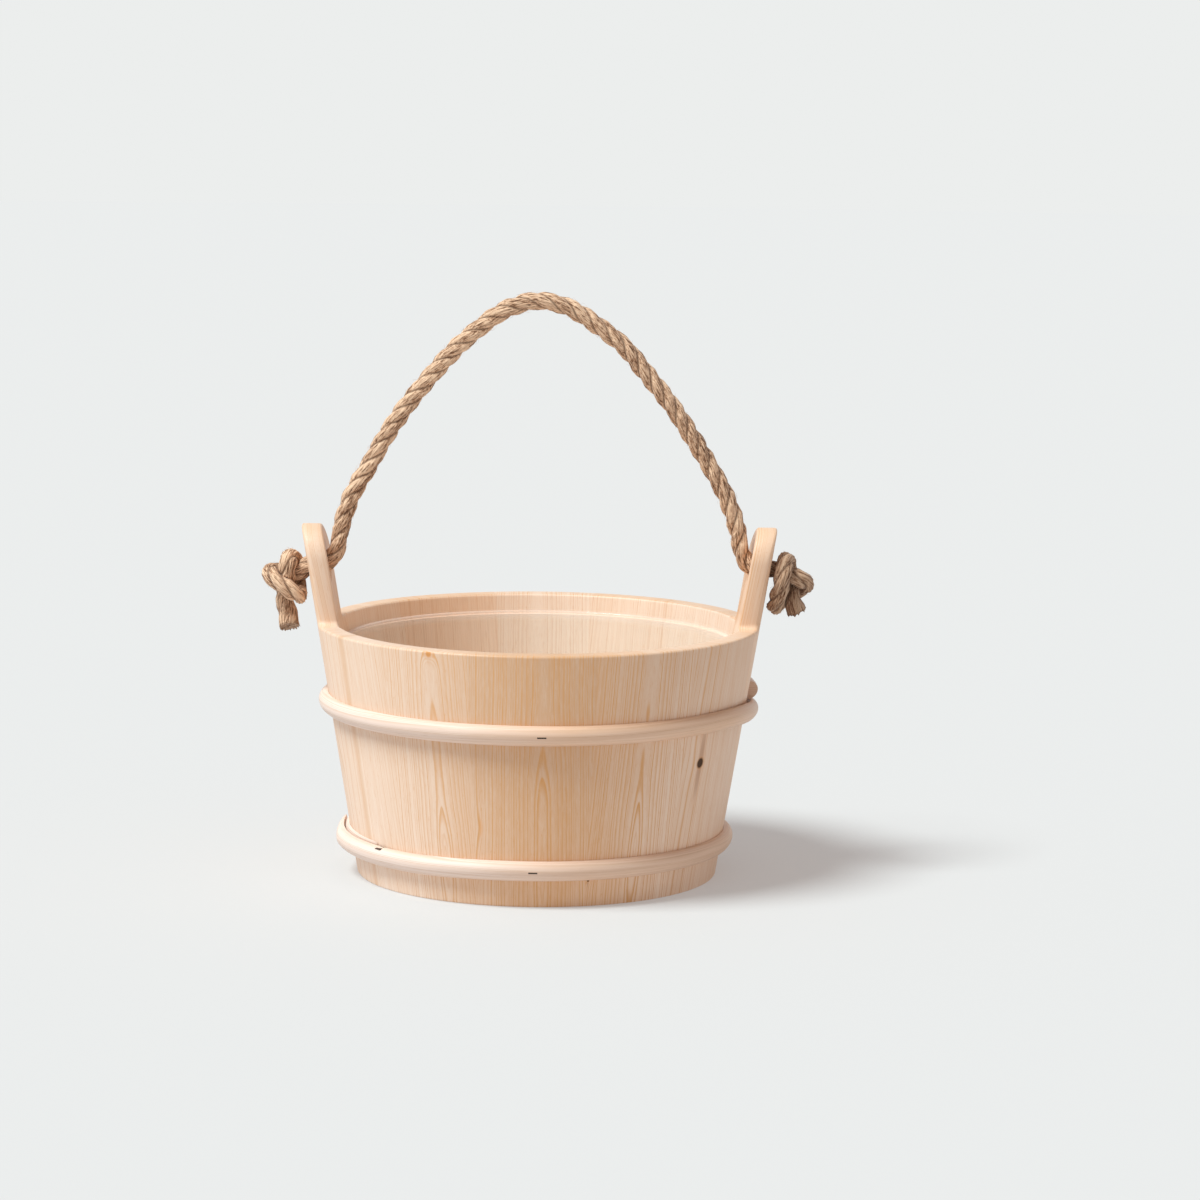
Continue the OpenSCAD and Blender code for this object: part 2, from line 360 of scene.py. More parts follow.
@dataclass(frozen=True)
class WoodFinish:
    """Sawn softwood whose year rings run through the solid piece."""

    name: str
    pale: Colour
    warm: Colour
    late: Colour
    ring: float = 1.5
    contrast: float = 1.15
    sway: float = 3.0
    drift: float = 2.0
    heart: float = 6.5
    roughness: float = 0.46
    knot_light: Colour = (0.84, 0.35, 0.085)
    knot_dark: Colour = (0.018, 0.008, 0.005)
    resin_colour: Colour = (0.66, 0.30, 0.10)
    streak_colour: Colour = (0.42, 0.165, 0.055)
    # Painted shade: the outer wall is mixed towards this brown, more so towards the top
    top_shade_colour: Colour = (0.35, 0.20, 0.10)
    # Painted light on the inner faces: paler than the outside wood, and the orange one is painted bounce
    # light on the shaded left
    inside_lit_pale: Colour = (1.0, 0.83, 0.68)
    inside_bounce_warm: Colour = (1.0, 0.62, 0.38)
    cut_colour: Colour = (0.50, 0.28, 0.14)
    lit_colour: Colour = (0.93, 0.80, 0.66)
    sway_waves: Point = (0.045, 0.045, 0.011)
    cloud_waves: Point = (0.05, 0.05, 0.012)
    fibre_waves: Point = (1.5, 1.5, 0.02)
    canal_waves: Point = (2.4, 2.4, 0.11)
    wander_wave: float = 0.018
    pace_wave: float = 0.16
    pace_spread: float = 5.0
    late_begins: Pair = (0.25, 0.86)
    late_ends: Pair = (0.88, 1.0)
    least_line: float = 0.3
    canal_begins: Pair = (0.66, 0.76)
    cloud_share: float = 0.5
    top_shade_share: float = 0.17
    inside_light_share: float = 0.85
    streak_share: float = 0.6
    canal_share: float = 0.45
    cut_share: float = 0.35
    dark_fibre: float = 0.9
    light_fibre: float = 0.7
    knot_push: float = 2.4
    knot_fade: float = 0.10
    push_begins: Pair = (0.0, 0.005)
    knot_begins: Pair = (0.0, 0.4)
    knot_edge: Pair = (0.6, 1.2)
    knot_rim: Pair = (0.5, 0.95)
    knot_core: float = 0.94
    halo_begins: Pair = (0.1, 0.4)
    halo_ends: Pair = (0.45, 0.9)
    halo_edge: Pair = (0.8, 2.4)
    halo_share: float = 0.8
    streak_side: Pair = (0.25, 1.1)
    streak_end: Pair = (1.0, 11.0)
    streak_hides: Pair = (0.15, 0.6)
    streak_darkens: Pair = (0.4, 0.8)
    rough_fibre: float = 0.25
    rough_line: float = -0.12
    rough_knot: float = 0.3
    specular: float = 0.35
    fibre_height: float = 0.55
    relief: Pair = (0.12, 0.35)

    def knots(self, tree: NodeTree) -> tuple[Field, Field, Field, Field]:
        """Places the knots that a piece carries.

        Args:
            tree: The nodes of the finish.

        Returns:
            How far the rings are pushed, how much knot shows, how dark it is, and its streak along the grain.
        """
        found = []
        for name in KNOT_MARKS:
            across, along, strength = tree.split(tree.mark(name))
            reach = (across * across + along * along).root()
            push = strength.rise(*self.push_begins) * self.knot_push
            push = push / (1.0 + reach * reach * self.knot_fade) ** 2.0
            body = strength.rise(*self.knot_begins) * (1.0 - reach.rise(*self.knot_edge))
            rim = (1.0 - self.knot_core) * reach.rise(*self.knot_rim)
            dark = body * strength * (self.knot_core + rim)
            halo = strength.rise(*self.halo_begins) * (1.0 - strength.rise(*self.halo_ends))
            halo = halo * (1.0 - reach.rise(*self.halo_edge))
            streak = strength * (1.0 - abs(across).rise(*self.streak_side))
            streak = streak * (1.0 - abs(along).rise(*self.streak_end))
            found.append((push, body, dark, streak.at_least(self.halo_share * halo)))
        pushes, *others = zip(*found)
        return reduce(Field.__add__, pushes), *(reduce(Field.at_least, each) for each in others)

    def make(self) -> bpy.types.Material:
        """Mixes the finish.

        Returns:
            The material.
        """
        tree = NodeTree(bpy.data.materials.new(self.name))
        grain = tree.mark("grain")
        across, depth, along = tree.split(grain)
        tone = tree.number("tone")
        push, knot, knot_dark, streak = self.knots(tree)

        wander = tree.noise_along(along * self.wander_wave, detail=1.5)
        deep = depth.maths("TANH", depth / self.heart) * self.heart + wander.swing() * self.drift
        sway = tree.noise(grain, self.sway_waves)
        radius = (across * across + deep * deep).root() + sway.swing() * self.sway + push
        pace = tree.noise_along(radius * self.pace_wave)
        years = radius / self.ring + pace.swing() * self.pace_spread
        cycle = years.share()
        weight = tree.chance(years.whole())
        late = cycle.rise(*self.late_begins) * (1.0 - cycle.rise(*self.late_ends))
        fibre = tree.noise(grain, self.fibre_waves, detail=3.0, roughness=0.6)
        cloud = tree.noise(grain, self.cloud_waves)
        shown = (1.0 - tree.number("calm")) * (1.0 - streak.rise(*self.streak_hides))
        line = late * (self.least_line + (1.0 - self.least_line) * weight * weight) * self.contrast * shown
        canal = tree.noise(grain, self.canal_waves, detail=1.0).rise(*self.canal_begins)

        unshaded = tree.mix(tone + cloud.swing() * self.cloud_share, self.pale, self.warm)
        # Painted shade, darker towards the top of the outer wall
        top_shading = tree.mix(tree.number("age") * self.top_shade_share, unshaded, self.top_shade_colour)
        # Painted light on the inner faces: paler, and more orange where bounce light is painted on the shaded
        # left
        inside = tree.mix(tone, self.inside_lit_pale, self.inside_bounce_warm)
        ground = tree.mix(tree.number("inside") * self.inside_light_share, top_shading, inside)
        stain = tree.mix(streak.rise(*self.streak_darkens), self.resin_colour, self.streak_colour)
        lined = tree.mix(streak * self.streak_share, tree.mix(line, ground, self.late), stain)
        specks = fibre.swing() * self.dark_fibre + self.canal_share * canal * self.contrast
        fine = tree.mix(specks, lined, self.late)
        lit = tree.mix((NOISE_MIDDLE - fibre) * self.light_fibre, fine, self.lit_colour)
        knotted = tree.mix(knot, lit, tree.mix(knot_dark, self.knot_light, self.knot_dark))
        colour = tree.mix(tree.number("cut") * self.cut_share, knotted, self.cut_colour)

        rough = self.roughness + fibre.swing() * self.rough_fibre
        rough = rough + line * self.rough_line + self.rough_knot * knot
        height = self.fibre_height * fibre + (1.0 - self.fibre_height) * (1.0 - line)
        return tree.surface(tree.shader("ShaderNodeBsdfPrincipled", {
            "Base Color": colour,
            "Roughness": rough,
            "Specular IOR Level": self.specular,
            "Normal": tree.bump(height, *self.relief),
        }))


@dataclass(frozen=True)
class RopeFinish:
    """Twisted natural fibre."""

    name: str = "rope_fibre"
    dark: Colour = (0.10, 0.042, 0.018)
    middle: Colour = (0.50, 0.26, 0.143)
    light: Colour = (0.95, 0.665, 0.45)
    fibre_waves: Point = (1.8, 1.8, 0.17)
    bundle_waves: Point = (0.8, 0.8, 0.045)
    patch_waves: Point = (0.12, 0.12, 0.035)
    fibre_share: float = 4.6
    bundle_share: float = 2.6
    patch_share: float = 1.2
    straw_begins: Pair = (-0.6, 0.6)
    brown_begins: Pair = (0.05, 0.9)
    brown_share: float = 0.95
    # Painted shade in the valleys between the strands
    valley_shade_begins: Pair = (0.45, 1.0)
    valley_shade_share: float = 0.2
    valley_shade_bundle: float = 0.9
    fray_share: float = 0.55
    roughness: float = 0.82
    rough_bundle: float = 0.15
    specular: float = 0.25
    sheen: float = 0.15
    sheen_roughness: float = 0.5
    fibre_height: float = 0.55
    relief: Pair = (0.9, 0.9)

    def make(self) -> bpy.types.Material:
        """Mixes the finish.

        Returns:
            The material.
        """
        tree = NodeTree(bpy.data.materials.new(self.name))
        lay = tree.mark("lay")
        fibre = tree.noise(lay, self.fibre_waves, detail=4.0, roughness=0.65)
        bundle = tree.noise(lay, self.bundle_waves)
        patch = tree.noise(lay, self.patch_waves)
        shade = fibre.swing() * self.fibre_share + bundle.swing() * self.bundle_share
        shade = shade + patch.swing() * self.patch_share
        straw = tree.mix(shade.rise(*self.straw_begins), self.middle, self.light)
        brown = tree.mix((0.0 - shade).rise(*self.brown_begins) * self.brown_share, straw, self.dark)
        # Painted shade in the valleys between the strands
        hollow = tree.number("hollow").rise(*self.valley_shade_begins)
        valley_shaded = tree.mix(hollow * (self.valley_shade_share + self.valley_shade_bundle * bundle), brown, self.dark)
        # Painted shade on a knot that lies in an ear's shadow
        wear_and_shade = tree.mix(tree.number("stain"), valley_shaded, self.dark)
        height = self.fibre_height * fibre + (1.0 - self.fibre_height) * bundle
        return tree.surface(tree.shader("ShaderNodeBsdfPrincipled", {
            "Base Color": tree.mix(tree.number("fray") * self.fray_share, wear_and_shade, self.dark),
            "Roughness": self.roughness - self.rough_bundle * bundle,
            "Specular IOR Level": self.specular,
            "Sheen Weight": self.sheen,
            "Sheen Roughness": self.sheen_roughness,
            "Normal": tree.bump(height, *self.relief),
        }))


@dataclass(frozen=True)
class WireFinish:
    """Dark staple wire, dulled by damp."""

    name: str = "staple_wire"
    bare: Colour = (0.06, 0.034, 0.022)
    rust: Colour = (0.035, 0.016, 0.009)
    spot_waves: Point = (900.0, 900.0, 900.0)
    rust_begins: Pair = (0.4, 0.65)
    metallic: float = 0.35
    rust_dulls: float = 0.25
    roughness: float = 0.42
    rust_roughens: float = 0.3
    relief: Pair = (0.05, 0.3)

    def make(self) -> bpy.types.Material:
        """Mixes the finish.

        Returns:
            The material.
        """
        tree = NodeTree(bpy.data.materials.new(self.name))
        spots = tree.noise(tree.place(), self.spot_waves, detail=3.0)
        wear_and_shade = spots.rise(*self.rust_begins)
        return tree.surface(tree.shader("ShaderNodeBsdfPrincipled", {
            "Base Color": tree.mix(wear_and_shade, self.bare, self.rust),
            "Metallic": self.metallic - self.rust_dulls * wear_and_shade,
            "Roughness": self.roughness + self.rust_roughens * wear_and_shade,
            "Normal": tree.bump(spots, *self.relief),
        }))


@dataclass(frozen=True)
class ClearFinish:
    """Clear moulded plastic, a little milky and pink where it is seen edge on."""

    name: str = "liner_plastic"
    tint: Colour = (1.0, 0.995, 0.99)
    haze: Colour = (1.0, 0.80, 0.67)
    milk: float = 0.04
    lip_milk: float = 0.24
    edge_milk: float = 0.30
    edge_blend: float = 0.22
    edge_power: float = 3.0
    ripple_waves: Point = (28.0, 28.0, 6.0)
    ripple_milk: float = 0.02
    ripple_tint: float = 0.6
    roughness: float = 0.06
    rough_ripple: float = 0.06
    specular: float = 0.8
    relief: Pair = (1.5, 0.12)

    def make(self) -> bpy.types.Material:
        """Mixes the finish.

        Returns:
            The material.
        """
        tree = NodeTree(bpy.data.materials.new(self.name))
        ripple = tree.noise(tree.place(), self.ripple_waves)
        edge = tree.add("ShaderNodeLayerWeight", None, {"Blend": self.edge_blend}).outputs["Facing"]
        gloss = tree.shader("ShaderNodeBsdfPrincipled", {
            "Base Color": tree.mix(ripple * self.ripple_tint, self.haze, self.tint),
            "Roughness": self.roughness + self.rough_ripple * ripple,
            "Specular IOR Level": self.specular,
            "Normal": tree.bump(ripple, *self.relief),
        })
        clear = tree.shader("ShaderNodeBsdfTransparent", {"Color": (*self.tint, 1.0)})
        passing = tree.rays("Is Shadow Ray", "Is Diffuse Ray")
        thick = self.edge_milk * Field(tree, edge) ** self.edge_power + self.lip_milk * tree.number("lip")
        cover = (self.milk + thick + self.ripple_milk * ripple) * (1.0 - passing)
        return tree.surface(tree.shader("ShaderNodeMixShader", {0: cover, 1: clear, 2: gloss}))


@dataclass(frozen=True)
class FloorFinish:
    """Pale studio floor, with a little light of its own that keeps the shadow soft."""

    name: str = "studio_floor"
    colour: Colour = (0.488, 0.488, 0.488)
    glow: Colour = (0.222, 0.217, 0.214)

    def make(self) -> bpy.types.Material:
        """Mixes the finish.

        Returns:
            The material.
        """
        tree = NodeTree(bpy.data.materials.new(self.name))
        matt = tree.shader("ShaderNodeBsdfDiffuse", {"Color": (*self.colour, 1.0)})
        glow = tree.shader("ShaderNodeEmission", {"Color": (*self.glow, 1.0)})
        return tree.surface(tree.shader("ShaderNodeAddShader", {0: matt, 1: glow}))


# Work on the bench


def take(*things: bpy.types.Object) -> None:
    """Selects some objects alone.

    Args:
        things: The objects, of which the first becomes the active one.
    """
    bpy.ops.object.select_all(action="DESELECT")
    for thing in things:
        thing.select_set(True)
    bpy.context.view_layer.objects.active = things[0]


@contextmanager
def on_bench(thing: bpy.types.Object) -> Iterator[bpy.types.Object]:
    """Opens a piece in edit mode, and closes it again.

    Args:
        thing: The piece.

    Returns:
        The piece, while it is open.
    """
    take(thing)
    bpy.ops.object.mode_set(mode="EDIT")
    try:
        yield thing
    finally:
        bpy.ops.object.mode_set(mode="OBJECT")


def pick(thing: bpy.types.Object, part: Part, test: Callable[[object], bool]) -> int:
    """Picks what passes a test on a piece that is open in edit mode.

    Args:
        thing: The piece.
        part: Whether edges or faces are picked.
        test: Tells whether one of them is picked.

    Returns:
        How many were picked.
    """
    bpy.ops.mesh.select_mode(type=part.value)
    bpy.ops.mesh.select_all(action="DESELECT")
    mesh = bmesh.from_edit_mesh(thing.data)
    mesh.normal_update()
    items = mesh.edges if part is Part.EDGES else mesh.faces
    chosen = [item for item in items if test(item)]
    for item in chosen:
        item.select_set(True)
    mesh.select_flush_mode()
    bmesh.update_edit_mesh(thing.data)
    return len(chosen)


def pick_all() -> None:
    """Picks everything on the piece that is open in edit mode."""
    bpy.ops.mesh.select_all(action="SELECT")


def draw_out(distance: float) -> None:
    """Extrudes what is picked along X, by a distance in millimetres."""
    bpy.ops.mesh.extrude_region_move(TRANSFORM_OT_translate={"value": (distance * MM, 0, 0)})


def saw(place: Point, normal: Point, **settings: bool) -> None:
    """Cuts all of the piece that is open in edit mode along a plane, in millimetres."""
    pick_all()
    bpy.ops.mesh.bisect(plane_co=[part * MM for part in place], plane_no=normal, **settings)


def face_outwards() -> None:
    """Turns all faces of the piece that is open in edit mode outwards."""
    pick_all()
    bpy.ops.mesh.normals_make_consistent(inside=False)


def apply(thing: bpy.types.Object, kind: str, **settings: object) -> None:
    """Adds a modifier with these settings and applies it.

    Args:
        thing: The piece.
        kind: Blender's type name.
        settings: Properties of the modifier.
    """
    take(thing)
    modifier = thing.modifiers.new(kind.title(), kind)
    for name, value in settings.items():
        setattr(modifier, name, value)
    bpy.ops.object.modifier_apply(modifier=modifier.name)


def cut_away(thing: bpy.types.Object, *cutters: bpy.types.Object) -> None:
    """Takes the cutters' shapes out of a piece and removes the cutters.

    Args:
        thing: The piece.
        cutters: The shapes, one after the other.
    """
    for cutter in cutters:
        apply(thing, "BOOLEAN", object=cutter, operation="DIFFERENCE", solver="EXACT")
        bpy.data.objects.remove(cutter)


def corners(thing: bpy.types.Object) -> np.ndarray:
    """Reads the corners of a mesh.

    Args:
        thing: The piece.

    Returns:
        Their places in millimetres, one row each.
    """
    flat = np.empty(len(thing.data.vertices) * 3, np.float64)
    thing.data.vertices.foreach_get("co", flat)
    return flat.reshape(-1, 3) / MM


def move_corners(thing: bpy.types.Object, places: np.ndarray) -> None:
    """Puts the corners of a mesh at these places, in millimetres."""
    thing.data.vertices.foreach_set("co", (np.asarray(places, np.float64) * MM).ravel())
    thing.data.update()


def mark(thing: bpy.types.Object, name: str, values: np.ndarray) -> None:
    """Writes a number or vector for each corner of a mesh, for its finish to read.

    Args:
        thing: The piece.
        name: The name that the finish asks for.
        values: One number or one row of three for each corner.
    """
    values = np.asarray(values, np.float32)
    vectors = values.ndim == 2
    layer = thing.data.attributes.new(name, "FLOAT_VECTOR" if vectors else "FLOAT", "POINT")
    layer.data.foreach_set("vector" if vectors else "value", values.ravel())


def new_piece(name: str, add: Callable[..., object], **sizes: object) -> bpy.types.Object:
    """Adds a primitive under a piece's name, with nothing else selected.

    Args:
        name: The piece's name.
        add: Blender's operator for the primitive.
        sizes: What the operator is told.

    Returns:
        The piece.
    """
    bpy.ops.object.select_all(action="DESELECT")
    add(**sizes)
    thing = bpy.context.object
    thing.name = thing.data.name = name
    return thing


def flat_shape(name: str, places: Sequence[Point], filled: bool = True) -> bpy.types.Object:
    """A flat face with the given outline, or the outline alone.

    Args:
        name: The piece's name.
        places: The outline's corners in order, in millimetres.
        filled: Whether there is a face.

    Returns:
        The piece.
    """
    thing = new_piece(name, bpy.ops.mesh.primitive_circle_add, vertices=len(places), radius=1.0,
                      fill_type="NGON" if filled else "NOTHING")
    move_corners(thing, np.array(places))
    return thing


def turned(name: str, section: Sequence[Pair], first: float, angle: float,
           steps: int) -> bpy.types.Object:
    """A section turned about the bucket's axis.

    Args:
        name: The piece's name.
        section: The outline's corners as radius and height.
        first: The angle at which the section starts.
        angle: How far it is turned.
        steps: The number of steps.

    Returns:
        The piece.
    """
    thing = flat_shape(name, [(*round_place(r, first), z) for r, z in section])
    with on_bench(thing):
        pick_all()
        bpy.ops.mesh.spin(steps=steps, angle=math.radians(angle), center=(0, 0, 0), axis=(0, 0, -1))
    close_up(thing)
    return thing


def lathed(name: str, outline: Sequence[Point], centre: Point, axis: Point, steps: int) -> bpy.types.Object:
    """An outline turned once round an axis.

    Args:
        name: The piece's name.
        outline: The outline's corners in order, which may begin and end on the axis.
        centre: A point on the axis.
        axis: The axis's direction.
        steps: The number of steps.

    Returns:
        The piece.
    """
    thing = flat_shape(name, outline, filled=False)
    middle, way = Vector(centre) * MM, Vector(axis)

    def is_on_axis(edge: bmesh.types.BMEdge) -> bool:
        """Tells whether an edge lies on the axis."""
        return all((v.co - middle).cross(way).length < ON_AXIS for v in edge.verts)

    with on_bench(thing):
        if pick(thing, Part.EDGES, is_on_axis):
            bpy.ops.mesh.delete(type="EDGE")
        pick_all()
        bpy.ops.mesh.spin(steps=steps, angle=math.tau, center=middle, axis=way)
    close_up(thing)
    return thing


def rolled_sheet(name: str, around: int, along: int) -> tuple[bpy.types.Object, np.ndarray, np.ndarray]:
    """A sheet of small squares, ready to be rolled into a bar.

    Args:
        name: The piece's name.
        around: Squares round the bar.
        along: Squares along the bar.

    Returns:
        The piece, and each corner's share of the way round and along.
    """
    thing = new_piece(name, bpy.ops.mesh.primitive_grid_add, x_subdivisions=around, y_subdivisions=along,
                      size=MM)
    flat = corners(thing)
    return thing, flat[:, 0] + 0.5, flat[:, 1] + 0.5


def close_up(thing: bpy.types.Object, merge: float = 0.004) -> None:
    """Merges doubled corners, closes open ends and turns all faces outwards.

    Args:
        thing: The piece.
        merge: The distance within which corners become one.
    """
    with on_bench(thing):
        pick_all()
        bpy.ops.mesh.remove_doubles(threshold=merge * MM)
        pick(thing, Part.EDGES, lambda edge: edge.is_boundary)
        bpy.ops.mesh.fill_holes(sides=0)
        face_outwards()


def smooth(thing: bpy.types.Object, angle: float = PLANED_CREASE) -> None:
    """Shades a piece smooth where its faces meet at less than an angle."""
    take(thing)
    bpy.ops.object.shade_smooth_by_angle(angle=math.radians(angle))


def bevel(offset: float, segments: int) -> None:
    """Rounds the picked edges by an offset in millimetres."""
    bpy.ops.mesh.bevel(offset=offset * MM, segments=segments, affect="EDGES", clamp_overlap=False)


def hand_over(thing: bpy.types.Object, body: Body, slot: Slot, finish: bpy.types.Material,
              *nodes: str) -> None:
    """Gives a finished piece its material and its body, and hides the solids that it stands for.

    Args:
        thing: The piece.
        body: What it moves with.
        slot: The record's finish; not used.
        finish: The material.
        nodes: The solids that it stands for.
    """
    thing.data.materials.clear()
    thing.data.materials.append(finish)
    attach(thing, body.value)
    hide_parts(*nodes)
    LOG.info("%s: %d faces, moves with %s", thing.name, len(thing.data.polygons), body.value)


def round_place(radius: float, angle: float) -> Pair:
    """X and Y of a place at a radius and an angle from the front."""
    turn = math.radians(angle)
    return radius * math.sin(turn), -radius * math.cos(turn)


def arc(centre: Pair, radius: float, first: float, last: float, steps: int) -> list[Pair]:
    """Points of an arc.

    Args:
        centre: The arc's middle.
        radius: Its radius.
        first: The angle of its first point.
        last: The angle of its last point.
        steps: How many steps lie between them.

    Returns:
        The points in order.
    """
    turns = [math.radians(first + (last - first) * i / steps) for i in range(steps + 1)]
    return [(centre[0] + radius * math.cos(a), centre[1] + radius * math.sin(a)) for a in turns]


def ease(t: np.ndarray) -> np.ndarray:
    """A smooth step from 0 to 1."""
    t = np.clip(t, 0.0, 1.0)
    return t * t * (3.0 - 2.0 * t)


def blend(first: float, last: float, t: np.ndarray) -> np.ndarray:
    """A straight change from one value to another while t goes from 0 to 1."""
    return first + (last - first) * np.clip(t, 0.0, 1.0)


# Camera and light


@dataclass(frozen=True)
class Viewpoint:
    """Where the bucket is looked at from."""

    distance: float = 2399.0
    elevation: float = 10.14
    roll: float = 0.68
    focal_pixels: float = 4000.0
    target: Point = (0.0, 0.0, 80.0)
    target_pixel: Pair = (539.0, 738.1)
    sensor: float = 36.0
    farthest: float = 50000.0

    def make(self) -> None:
        """Sets up the camera."""
        tilt = math.radians(self.elevation)
        back = Vector((0.0, -math.cos(tilt), math.sin(tilt)))
        place = Vector(self.target) + back * self.distance
        up = Vector((0.0, 0.0, 1.0))
        ahead = -back
        right = ahead.cross(up).normalized()
        above = right.cross(ahead)
        middle = IMAGE_SIDE / 2
        turn = math.atan((middle - self.target_pixel[0]) / self.focal_pixels)
        lift = math.atan((self.target_pixel[1] - middle) / self.focal_pixels)
        ahead = (math.cos(lift) * (math.cos(turn) * ahead + math.sin(turn) * right) + math.sin(lift) * above)
        ahead.normalize()
        right = ahead.cross(up).normalized()
        above = right.cross(ahead)
        roll = math.radians(self.roll)
        right, above = (
            math.cos(roll) * right + math.sin(roll) * above,
            -math.sin(roll) * right + math.cos(roll) * above,
        )
        data = bpy.data.cameras.new("viewpoint")
        data.sensor_width = self.sensor
        data.lens = self.focal_pixels / IMAGE_SIDE * self.sensor
        data.clip_end = self.farthest * MM
        camera = bpy.data.objects.new("viewpoint", data)
        bpy.context.scene.collection.objects.link(camera)
        aim = Matrix((right, above, -ahead)).transposed().to_4x4()
        camera.matrix_world = Matrix.Translation(place * MM) @ aim
        bpy.context.scene.camera = camera


@dataclass(frozen=True)
class Studio:
    """Pale floor, one soft key light from the left and an even fill."""

    key_angle: float = -62.0
    key_height: float = 57.5
    key_strength: float = 3.35
    key_softness: float = 23.0
    key_colour: Colour = (0.90, 0.99, 1.0)
    fill: float = 0.445
    fill_colour: Colour = (1.0, 0.92, 0.895)
    background: Colour = (0.838, 0.854, 0.846)
    floor_radius: float = 9000.0
    floor_sides: int = 96

    def light(self) -> None:
        """Sets up the key light and the world."""
        data = bpy.data.lights.new("key", "SUN")
        data.energy = self.key_strength
        data.angle = math.radians(self.key_softness)
        data.color = self.key_colour
        key = bpy.data.objects.new("key", data)
        bpy.context.scene.collection.objects.link(key)
        height = math.radians(self.key_height)
        x, y = round_place(math.cos(height), self.key_angle)
        towards = Vector((x, y, math.sin(height)))
        key.rotation_euler = (-towards).to_track_quat("-Z", "Y").to_euler()
        world = bpy.data.worlds.new("studio")
        bpy.context.scene.world = world
        tree = NodeTree(world)
        seen = tree.rays("Is Camera Ray", "Is Glossy Ray", "Is Transmission Ray")
        shown, fill = (
            tree.shader("ShaderNodeBackground", {"Color": (*colour, 1.0), "Strength": strength})
            for colour, strength in ((self.background, 1.0), (self.fill_colour, self.fill))
        )
        tree.surface(tree.shader("ShaderNodeMixShader", {0: seen, 1: fill, 2: shown}))

    def floor(self) -> None:
        """Lays the floor."""
        floor = new_piece("floor", bpy.ops.mesh.primitive_circle_add, vertices=self.floor_sides,
                          radius=self.floor_radius * MM, fill_type="NGON")
        floor.data.materials.append(FloorFinish().make())


# Rope


